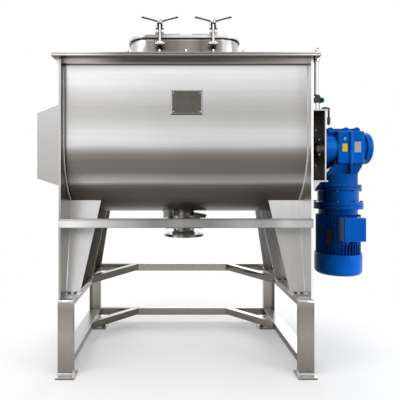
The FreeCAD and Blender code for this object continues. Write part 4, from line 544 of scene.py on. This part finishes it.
def label_material():
    """Blank labels: a yellow and a grey one on the gear unit, a black rating plate on the motor."""
    yellow, grey_label, black = (0.95, 0.62, 0.004, 1), (0.44, 0.47, 0.50, 1), (0.012, 0.012, 0.013, 1)
    grey_width = 55 * MM
    material, tree = new_material("blank_labels")
    low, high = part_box("blank_labels")
    axes = object_axes(tree)
    right = math_node(tree, "GREATER_THAN", axes["X"], high.x - grey_width)
    upper = math_node(tree, "GREATER_THAN", axes["Z"], (low.z + high.z) / 2)
    grain = noise(tree, (1, 1, 1), 300, 2.0)
    gear = mixed(tree, "MIX", right, yellow, grey_label)
    tone = mixed(tree, "MIX", upper, black, gear)
    shade = ramp(tree, grain, [(0, (0.88,) * 3), (1, (1.0,) * 3)])
    color = mixed(tree, "MULTIPLY", 1.0, tone, shade)
    finish_surface(tree, color, spread(tree, grain, 0.45, 0.6), 0.0, grain, 0.05, Specular_IOR_Level=0.1)
    return material


def fastener_material():
    """Bright bolts on the machine, dark ones low down, ones behind the bracket darkened as painted shade,
    painted ones on the drive, and the gear unit's light blue oil plug."""
    enamel, plug_blue = (0.002, 0.12, 0.52, 1), (0.09, 0.48, 0.80, 1)
    bright, foot_tone, shade_tone = (0.62, 0.62, 0.60, 1), (0.10, 0.095, 0.09, 1), (0.07, 0.066, 0.06, 1)
    foot_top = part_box("front_legs")[1].z + 47 * MM
    bracket_low, bracket_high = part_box("bracket_plates")
    material, tree = new_material("fasteners")
    axes = object_axes(tree)
    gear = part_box("gear_housing")[0]
    drive = math_node(tree, "GREATER_THAN", axes["X"], gear.x)
    plug = Vector((gear.x + 146 * MM, gear.y, gear.z + 305 * MM))
    plug_reach = 62 * MM
    place = tree.nodes.new("ShaderNodeTexCoord")
    away = tree.nodes.new("ShaderNodeVectorMath")
    away.operation = "DISTANCE"
    tree.links.new(place.outputs["Object"], away.inputs[0])
    away.inputs[1].default_value = plug
    near = math_node(tree, "LESS_THAN", away.outputs["Value"], plug_reach)
    painted = mixed(tree, "MIX", near, enamel, plug_blue)
    low_down = math_node(tree, "LESS_THAN", axes["Z"], foot_top)
    bare = mixed(tree, "MIX", low_down, bright, foot_tone)
    # Painted shade on the bolts behind the bracket.
    after_start = math_node(tree, "GREATER_THAN", axes["X"], bracket_low.x + 10.5 * MM)
    before_end = math_node(tree, "LESS_THAN", axes["X"], bracket_high.x - 24.5 * MM)
    behind = math_node(tree, "MULTIPLY", after_start, before_end)
    bare = mixed(tree, "MIX", behind, bare, shade_tone)
    tone = mixed(tree, "MIX", drive, bare, painted)
    spots = noise(tree, (1, 1, 1), 80, 3.0)
    shade = ramp(tree, spread(tree, spots, 0, 1), [(0, (0.8,) * 3), (1, (1.0,) * 3)])
    metal = math_node(tree, "SUBTRACT", 1.0, drive)
    color = mixed(tree, "MULTIPLY", 1.0, tone, shade)
    finish_surface(tree, color, spread(tree, spots, 0.18, 0.3), metal, spots, 0.05, 0.0003)
    return material


LABELS = label_material()
FASTENERS = fastener_material()

MATERIAL_OF_SLOT = {
    "stainless": PLAIN_STEEL, "machined_steel": TURNED, "bright_steel": BRIGHT, "seal_rubber": RUBBER,
    "packing": PACKING, "cast_housing": DARK, "bearing_steel": BRIGHT, "dark_fitting": BLACK,
    "blue_paint": BLUE, "electrical_steel": DARK, "fan_plastic": BLACK, "label_plate": LABELS,
    "dark_plate": PLATE,
}
MATERIAL_OF_NODE = {
    "trough_shell": SHELL, "end_plate_left": END_LEFT, "end_plate_right": END_RIGHT,
    "rim_flange": DECK_STEEL, "top_cover": DECK_STEEL, "hatch_neck": NECK_STEEL, "hatch_lid": LID_STEEL,
    "hatch_lugs": LUG_STEEL, "lid_brackets": FORK_STEEL, "lid_handles": HANDLE_STEEL,
    "front_legs": LEG_STEEL, "rear_legs": REAR_STEEL, "side_rails": RAIL_STEEL, "rear_bars": REAR_STEEL,
    "corner_braces": BRACE_STEEL, "foot_plates": FOOT_STEEL, "pedestals": PEDESTAL_STEEL,
    "cross_beam": BEAM_STEEL, "tail_guard": GUARD_STEEL, "seal_housings": DARK,
    "bracket_plates": BRACKET_STEEL, "bracket_face": BRACKET_STEEL, "outlet_stub": OUTLET_STEEL,
    "valve_body": OUTLET_STEEL, "outlet_spool": OUTLET_STEEL, "valve_lever": DARK, "fasteners": FASTENERS,
    "motor_frame": MOTOR_BLUE, "fan_cowl": COWL_BLUE, "terminal_box": BOX_BLUE, "terminal_lid": BOX_BLUE,
}
# Width of each node's rounded edges, in millimetres
EDGE_OF_NODE = {
    "front_legs": 2.0, "rear_legs": 2.0, "side_rails": 2.0, "rear_bars": 3.0, "corner_braces": 3.0,
    "cross_beam": 3.5, "rim_flange": 1.5, "top_cover": 1.5, "foot_plates": 1.5, "pedestals": 1.0,
    "end_plate_left": 1.2, "end_plate_right": 1.2, "hatch_lid": 1.2, "hatch_neck": 0.8, "tail_guard": 2.0,
    "bracket_plates": 1.2, "bracket_face": 1.2, "outlet_stub": 1.2, "valve_body": 2.0, "outlet_spool": 1.5,
    "terminal_box": 3.0, "terminal_lid": 2.0, "motor_frame": 0.8, "fan_cowl": 1.0, "hatch_lugs": 1.0,
    "lid_brackets": 1.0, "valve_lever": 1.5,
}


def soften(item, width):
    """Rounds a CAD node's sharp edges by modifiers; its mesh stays as it is."""
    weld = item.modifiers.new("weld", "WELD")
    weld.merge_threshold = 0.02 * MM
    bevel = item.modifiers.new("edges", "BEVEL")
    bevel.width = width * MM
    bevel.segments = 2
    bevel.limit_method = "ANGLE"
    bevel.angle_limit = math.radians(35)
    bevel.harden_normals = True


def dress_frame():
    """Each CAD node gets its material and, where one is named, rounded edges."""
    for part in frame["record"]["subparts"]:
        item = NODES[part["node"]]
        chosen = MATERIAL_OF_NODE.get(part["node"], MATERIAL_OF_SLOT[part["material_slot"]])
        if not item.data.materials:
            item.data.materials.append(chosen)
        for entry in item.material_slots:
            entry.material = chosen
        if part["node"] in EDGE_OF_NODE:
            soften(item, EDGE_OF_NODE[part["node"]])


dress_frame()


# ---------------------------------------------------------------- mesh helpers

def place_piece(name, mesh, material, body):
    """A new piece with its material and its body."""
    piece = bpy.data.objects.new(name, mesh)
    SCENE.collection.objects.link(piece)
    mesh.materials.clear()
    mesh.materials.append(material)
    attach(piece, body)
    return piece


def mesh_from(bm, name, smooth_below=40):
    """A finished mesh: normals outward, smooth except over sharp edges."""
    bmesh.ops.recalc_face_normals(bm, faces=bm.faces)
    for face in bm.faces:
        face.smooth = True
    for edge in bm.edges:
        if len(edge.link_faces) == 2 and edge.calc_face_angle() > math.radians(smooth_below):
            edge.smooth = False
    mesh = bpy.data.meshes.new(name)
    bm.to_mesh(mesh)
    bm.free()
    return mesh


def frame_along(direction):
    """Two unit vectors square to a direction."""
    side = direction.cross(Vector((0, 0, 1)))
    if side.length < 0.01:
        side = Vector((1, 0, 0))
    side.normalize()
    return side, side.cross(direction).normalized()


def skin(bm, rings, closed=False):
    """Faces between rings of points, capped at both ends unless closed."""
    loops = [[bm.verts.new(point) for point in ring] for ring in rings]
    count = len(loops[0])
    following = loops[1:] + loops[:1] if closed else loops[1:]
    for first, second in zip(loops, following):
        for k in range(count):
            bm.faces.new((first[k], first[(k + 1) % count], second[(k + 1) % count], second[k]))
    if not closed:
        bm.faces.new(loops[0][::-1])
        bm.faces.new(loops[-1])


def lathe(bm, centre, direction, profile, segments):
    """A turned piece: profile is (distance along the direction, radius)."""
    direction = Vector(direction).normalized()
    side, up = frame_along(direction)
    angles = [math.tau * k / segments for k in range(segments)]
    rings = []
    for along, radius in profile:
        middle = Vector(centre) + direction * along
        rings.append([middle + radius * (side * math.cos(a) + up * math.sin(a)) for a in angles])
    skin(bm, rings)


def sweep(bm, points, radii, segments):
    """A round bar through points, with a radius at each."""
    points = [Vector(point) for point in points]
    angles = [math.tau * j / segments for j in range(segments)]
    rings = []
    for k, point in enumerate(points):
        before = points[max(k - 1, 0)]
        after = points[min(k + 1, len(points) - 1)]
        side, up = frame_along((after - before).normalized())
        rings.append([point + radii[k] * (side * math.cos(a) + up * math.sin(a)) for a in angles])
    skin(bm, rings)


def block(bm, low, high, edge, segments=2):
    """A box with rounded edges."""
    made = bmesh.ops.create_cube(bm, size=1.0)["verts"]
    low, high = Vector(low), Vector(high)
    for vert in made:
        vert.co = (low + high) / 2 + Vector(a * b for a, b in zip(vert.co, high - low))
    edges = list(dict.fromkeys(e for vert in made for e in vert.link_edges))
    bmesh.ops.bevel(bm, geom=edges, offset=edge, segments=segments, affect="EDGES", profile=0.5)


SCREW_DOME = [(0.0, 1.0), (0.35, 0.98), (0.62, 0.86), (0.85, 0.6), (0.97, 0.3), (1.0, 0.06)]


def screw(bm, centre, direction, radius, rise):
    """Round domed head."""
    lathe(bm, centre, direction, [(rise * a, radius * b) for a, b in SCREW_DOME], 16)


def grown(rough, name, voxel, rounds, keep_share):
    """A rough shape's parts grown together as a casting, smoothed, with a share of the faces kept."""
    SCENE.collection.objects.link(rough)
    remesh = rough.modifiers.new("remesh", "REMESH")
    remesh.mode = "VOXEL"
    remesh.voxel_size = voxel
    remesh.use_smooth_shade = True
    smooth = rough.modifiers.new("smooth", "SMOOTH")
    smooth.factor = 0.5
    smooth.iterations = rounds
    fewer = rough.modifiers.new("fewer", "DECIMATE")
    fewer.ratio = keep_share
    graph = bpy.context.evaluated_depsgraph_get()
    mesh = bpy.data.meshes.new_from_object(rough.evaluated_get(graph))
    mesh.name = name
    bpy.data.objects.remove(rough)
    for polygon in mesh.polygons:
        polygon.use_smooth = True
    return mesh


# ---------------------------------------------------------------- hatch clamps and cover nuts

SLEEVE_REACH = 17.5 * MM
WING_HUB = [(0, 0.0150), (0.004, 0.0165), (0.014, 0.0172), (0.024, 0.0160), (0.031, 0.0115),
            (0.034, 0.0070)]
WING_CAP = [(0, 0.0085), (0.006, 0.0085), (0.010, 0.0055), (0.012, 0.002)]


def wing_arms(name, middle, reach, top):
    """Two slender arms, thinner at their middles, that rise from a round hub."""
    thick, waist, end, steps = 8.8 * MM, 1.8 * MM, 4.5 * MM, 8
    bm = bmesh.new()
    lathe(bm, middle - Vector((0, 0, 17 * MM)), (0, 0, 1), WING_HUB, 28)
    for sign in (1, -1):
        tip = Vector((middle.x + sign * (reach - 7 * MM), middle.y, top - 7.5 * MM))
        start = middle + Vector((sign * 5 * MM, 0, 0))
        points = [start.lerp(tip, k / steps) for k in range(steps + 1)]
        radii = [thick - waist * math.sin(math.pi * k / steps) for k in range(steps + 1)]
        points.append(tip + (tip - start).normalized() * 4.5 * MM)
        radii.append(end)
        sweep(bm, points, radii, 14)
    rough = bpy.data.objects.new(name + "_rough", mesh_from(bm, name + "_rough"))
    return grown(rough, name, voxel=1.6 * MM, rounds=3, keep_share=0.5)


def wing_prongs(name, middle, foot):
    """The slotted sleeve's two sides, and the cap on the hub."""
    bm = bmesh.new()
    half = Vector((4.2 * MM, 12 * MM, 0))
    for sign in (1, -1):
        low = Vector((middle.x + sign * SLEEVE_REACH, middle.y, foot + 5 * MM))
        high = Vector((low.x, low.y, middle.z - 8 * MM))
        block(bm, low - half, high + half, 0.003, 3)
    lathe(bm, middle + Vector((0, 0, 15 * MM)), (0, 0, 1), WING_CAP, 20)
    return mesh_from(bm, name)


def wing_feet(name, middle, foot):
    """The sleeve's two feet, its back and its head."""
    bm = bmesh.new()
    half = Vector((5.5 * MM, 13 * MM, 0))
    for sign in (1, -1):
        low = Vector((middle.x + sign * SLEEVE_REACH, middle.y, foot))
        block(bm, low - half, low + Vector((0, 0, 7 * MM)) + half, 0.002)
    x, y, z = middle
    back, front = y + 12 * MM, y - 12 * MM
    block(bm, (x - SLEEVE_REACH, back - 3 * MM, foot + 4 * MM), (x + SLEEVE_REACH, back, z - 6 * MM), 0.001)
    block(bm, (x - SLEEVE_REACH, front, z - 14 * MM), (x + SLEEVE_REACH, back, z - 7 * MM), 0.002)
    return mesh_from(bm, name)


def wing_nut(side):
    """Cast wing nut: two raised arms on a hub, over a slotted sleeve with two feet."""
    node = f"wing_nut_{side}"
    low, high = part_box(node)
    hub_height = 50 * MM
    middle = Vector(((low.x + high.x) / 2, (low.y + high.y) / 2, low.z + hub_height))
    mesh = wing_arms(f"{node}_arms", middle, (high.x - low.x) / 2, high.z)
    arms = place_piece(f"{node}_arms", mesh, CAST_NUT, f"wing_{side}")
    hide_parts(node)
    mesh = wing_prongs(f"{node}_prongs", middle, low.z)
    place_piece(f"{node}_prongs", mesh, BRIGHT, f"wing_{side}")
    # The feet, the sleeve's back and its head take the dark casting as painted shade.
    mesh = wing_feet(f"{node}_feet", middle, low.z)
    place_piece(f"{node}_feet", mesh, DARK, f"wing_{side}")


PIN_NUT = [(0, 0.0092), (0.004, 0.0092), (0.0065, 0.0080), (0.0095, 0.0055), (0.011, 0.002)]


def pin_nuts():
    """Domed nuts on the ends of the two swing bolts' pins."""
    pin_height, pin_reach = 16 * MM, 19 * MM
    bm = bmesh.new()
    for side in ("left", "right"):
        low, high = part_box(f"swing_bolt_{side}")
        x, y, z = (low.x + high.x) / 2, (low.y + high.y) / 2, low.z + pin_height
        for sign in (1, -1):
            lathe(bm, (x + sign * pin_reach, y, z), (sign, 0, 0), PIN_NUT, 16)
    place_piece("clamp_pin_nuts", mesh_from(bm, "clamp_pin_nuts"), BRIGHT, "machine")


# Along X, from the trough's middle
COVER_NUT_PLACES = (-0.307, -0.139, 0.0, 0.143, 0.300)
WASHER = [(0, 0.0115), (0.0018, 0.0115)]
NUT_SIDES = [(0.0018, 0.0088), (0.008, 0.0088)]
NUT_DOME = [(0.0078, 0.0078), (0.012, 0.0074), (0.0155, 0.0058), (0.0178, 0.0032), (0.0184, 0.0006)]


def cover_nuts():
    """Domed nuts and washers that hold the cover down along its front and rear edges."""
    inset, sunk = 17 * MM, 0.4 * MM
    low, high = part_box("top_cover")
    bm = bmesh.new()
    for y in (low.y + inset, high.y - inset):
        for place in COVER_NUT_PLACES:
            centre = (TROUGH_X + place, y, high.z - sunk)
            for profile, segments in ((WASHER, 20), (NUT_SIDES, 6), (NUT_DOME, 20)):
                lathe(bm, centre, (0, 0, 1), profile, segments)
    place_piece("cover_nuts", mesh_from(bm, "cover_nuts"), BRIGHT, "machine")


# ---------------------------------------------------------------- nameplate

def nameplate_moulding():
    """Raised metal moulding round the blank plate, sloping both ways, and the plate's four rivets."""
    low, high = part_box("nameplate_frame")
    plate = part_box("nameplate")[0]
    border = plate.x - low.x
    lap = border * 1.15
    profile = [(0.0, high.y), (0.0, high.y - 1.0 * MM), (border * 0.66, low.y), (border * 0.76, low.y),
               (border * 1.04, plate.y - 0.3 * MM), (lap, plate.y + 0.4 * MM), (lap, high.y)]
    rings = []
    for x, z, inward_x, inward_z in ((low.x, low.z, 1, 1), (high.x, low.z, -1, 1), (high.x, high.z, -1, -1),
                                     (low.x, high.z, 1, -1)):
        rings.append([Vector((x + inward_x * inset, y, z + inward_z * inset)) for inset, y in profile])
    bm = bmesh.new()
    skin(bm, rings, closed=True)
    mesh = mesh_from(bm, "nameplate_moulding", 15)
    moulding = place_piece("nameplate_moulding", mesh, FRAME_STEEL, "machine")
    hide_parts("nameplate_frame")
    bm = bmesh.new()
    inset = lap + 5 * MM
    for x in (low.x + inset, high.x - inset):
        for z in (low.z + inset, high.z - inset):
            screw(bm, (x, plate.y + 0.2 * MM, z), (0, -1, 0), 3.2 * MM, 2.0 * MM)
    mesh = mesh_from(bm, "nameplate_rivets")
    place_piece("nameplate_rivets", mesh, FRAME_STEEL, "machine")


# ---------------------------------------------------------------- welds

def bead(bm, points, radius, rng, step=0.006):
    """A weld bead along a line: overlapping ripples, a little uneven."""
    points = [Vector(point) for point in points]
    line = []
    for first, second in zip(points, points[1:]):
        count = max(1, round((second - first).length / step))
        for k in range(count):
            line.append(first.lerp(second, k / count))
    line.append(points[-1])
    valley, ripple, uneven = 0.86, 0.22, 0.06
    radii = [radius * (valley + ripple * (k % 2) + rng.uniform(-uneven, uneven)) for k in range(len(line))]
    radii[0] = radii[-1] = radius * 0.4
    sweep(bm, line, radii, 8)


def shell_seams(bm, rng):
    """Between the shell and each end plate, all round its U."""
    radius, inset, steps = SHELL_RADIUS, 2 * MM, 90
    end_z = SHELL_HIGH.z - 30 * MM
    for x in (SHELL_LOW.x + inset, SHELL_HIGH.x - inset):
        arc = [(x, -radius * math.cos(math.pi * k / steps), AXIS_Z - radius * math.sin(math.pi * k / steps))
               for k in range(steps + 1)]
        bead(bm, [(x, -radius, end_z), *arc, (x, radius, end_z)], 2.2 * MM, rng, step=0.012)


def pedestal_seams(bm, rng):
    """Up both sides of each tapered plate where it meets its end plate, and along each base."""
    foot_y, top_y, base_reach = 337 * MM, 221 * MM, 72 * MM
    leaning_share = 0.985
    low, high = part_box("pedestals")
    foot = low.z + 10 * MM
    for x in (low.x + 1.5 * MM, high.x - 1.5 * MM):
        inward = 1 if x < TROUGH_X else -1
        for row in (-1, 0, 1):
            bottom, top = row * foot_y, row * top_y
            peak = AXIS_Z - math.sqrt(SHELL_RADIUS ** 2 - top ** 2) - 2 * MM
            for off in (-4.0 * MM, 4.0 * MM):
                start = (x, bottom + off, foot + 2 * MM)
                end = (x, bottom + (top - bottom) * leaning_share + off, peak - 8 * MM)
                bead(bm, [start, end], 3.6 * MM, rng, step=0.010)
            base_y = bottom - 4.5 * MM
            bead(bm, [(x, base_y, foot), (x + inward * base_reach, base_y, foot)], 2.6 * MM, rng, step=0.009)


def frame_seams(bm, rng):
    """Beam to end plates, rails to legs, and legs to foot plates."""
    leg_width, end_inset, side_inset = 80 * MM, 13.5 * MM, 3 * MM
    low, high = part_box("cross_beam")
    for x in (low.x + end_inset, high.x - end_inset):
        for z in (low.z, high.z):
            bead(bm, [(x, low.y + side_inset, z), (x, high.y - side_inset, z)], 2.4 * MM, rng)
    leg_low, leg_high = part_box("front_legs")
    rear_low, rear_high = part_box("rear_legs")
    for x, inward in ((leg_low.x, 1), (leg_high.x, -1)):
        for y in (leg_high.y + 1 * MM, rear_low.y - 1 * MM):
            z = leg_high.z + 0.5 * MM
            bead(bm, [(x + inward * 12 * MM, y, z), (x + inward * 70 * MM, y, z)], 2.0 * MM, rng)
    for foot_low, foot_high in ((leg_low, leg_high), (rear_low, rear_high)):
        front, back, z = foot_low.y, foot_high.y, foot_low.z + 0.8 * MM
        for x in (foot_low.x, foot_high.x - leg_width):
            right = x + leg_width
            corners = [(x, front, z), (right, front, z), (right, back, z), (x, back, z), (x, front, z)]
            bead(bm, corners, 2.2 * MM, rng)


def welds():
    """All the weld beads, as one piece."""
    rng = random.Random(7)
    bm = bmesh.new()
    shell_seams(bm, rng)
    pedestal_seams(bm, rng)
    frame_seams(bm, rng)
    place_piece("weld_beads", mesh_from(bm, "weld_beads", 60), WELD, "machine")


# ---------------------------------------------------------------- drive

def slant_belly(mesh):
    """The casting under the gear block draws in toward the motor flange on its outer side."""
    low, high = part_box("gear_housing")
    flange_top = low.z + 17 * MM
    top = Vector((high.x - 8 * MM, 0, low.z + 149 * MM))
    foot = Vector((high.x - 57 * MM, 0, low.z + 69 * MM))
    for vert in mesh.vertices:
        if flange_top < vert.co.z < top.z:
            share = min(1.0, (top.z - vert.co.z) / (top.z - foot.z))
            vert.co.x = min(vert.co.x, top.x + (foot.x - top.x) * share)


def cast_copy(node, name, enamel, voxel, rounds, keep_share, reshape=None):
    """A CAD node's shape with a casting's rounded edges."""
    rough = bpy.data.objects.new(name + "_rough", NODES[node].data.copy())
    mesh = grown(rough, name, voxel, rounds, keep_share)
    if reshape is not None:
        reshape(mesh)
    piece = place_piece(name, mesh, enamel, "machine")
    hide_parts(node)


def drive_castings():
    """The gear unit's case and end cover, and the lantern between it and the motor."""
    cast_copy("gear_housing", "gear_case", CASE_BLUE, 3.0 * MM, rounds=6, keep_share=0.45,
              reshape=slant_belly)
    cast_copy("gear_end_cover", "gear_case_cover", BLUE, 2.6 * MM, rounds=4, keep_share=0.5)
    cast_copy("motor_adapter", "motor_lantern", LANTERN_BLUE, 2.6 * MM, rounds=4, keep_share=0.5)


def terminal_lid_screws():
    """A domed screw in each corner of the terminal box's lid."""
    low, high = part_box("terminal_lid")
    inset = 9 * MM
    bm = bmesh.new()
    for x in (low.x + inset, high.x - inset):
        for z in (low.z + inset, high.z - inset):
            screw(bm, (x, low.y + 0.5 * MM, z), (0, -1, 0), 4.2 * MM, 2.4 * MM)
    mesh = mesh_from(bm, "terminal_lid_screws")
    place_piece("terminal_lid_screws", mesh, BLUE, "machine")


GLAND = [(0, 0.0125), (0.003, 0.0125), (0.0031, 0.0135), (0.012, 0.0135), (0.0121, 0.0105), (0.019, 0.0100),
         (0.024, 0.0080), (0.0245, 0.0045)]


def cable_glands():
    """Two empty glands under the terminal box."""
    low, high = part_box("terminal_box")
    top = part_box("terminal_lid")[0].z + 1 * MM
    bm = bmesh.new()
    for x in (low.x + 36 * MM, high.x - 34 * MM):
        lathe(bm, (x, low.y + 30 * MM, top), (0, 0, -1), GLAND, 12)
    place_piece("cable_glands", mesh_from(bm, "cable_glands"), BLUE, "machine")


# ---------------------------------------------------------------- seal air and cross beam

AIR_FITTING = [(0, 0), (0, 0.0075), (0.0015, 0.009), (0.013, 0.009), (0.014, 0.007), (0.022, 0.007),
               (0.0235, 0.0055), (0.0235, 0)]


def air_fitting():
    """Push-in fitting on the front of the seal-air manifold."""
    low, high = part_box("air_manifold")
    middle = (low.x + high.x) / 2
    bm = bmesh.new()
    lathe(bm, (middle + 2 * MM, low.y - 3 * MM, high.z - 46 * MM), (0, 0, 1), AIR_FITTING, 24)
    place_piece("air_fitting", mesh_from(bm, "air_fitting"), BLUE, "machine")


def beam_caps():
    """Welded caps in the cross beam's open ends."""
    inside, thick, sunk, edge = 2.5 * MM, 3 * MM, 0.6 * MM, 0.4 * MM
    low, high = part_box("cross_beam")
    bm = bmesh.new()
    for x in (low.x + sunk, high.x - sunk - thick):
        block(bm, (x, low.y + inside, low.z + inside), (x + thick, high.y - inside, high.z - inside), edge)
    place_piece("beam_caps", mesh_from(bm, "beam_caps"), PLAIN_STEEL, "machine")


# ---------------------------------------------------------------- all of them

for hand in ("left", "right"):
    wing_nut(hand)
pin_nuts()
cover_nuts()
beam_caps()
air_fitting()
nameplate_moulding()
welds()
drive_castings()
terminal_lid_screws()
cable_glands()
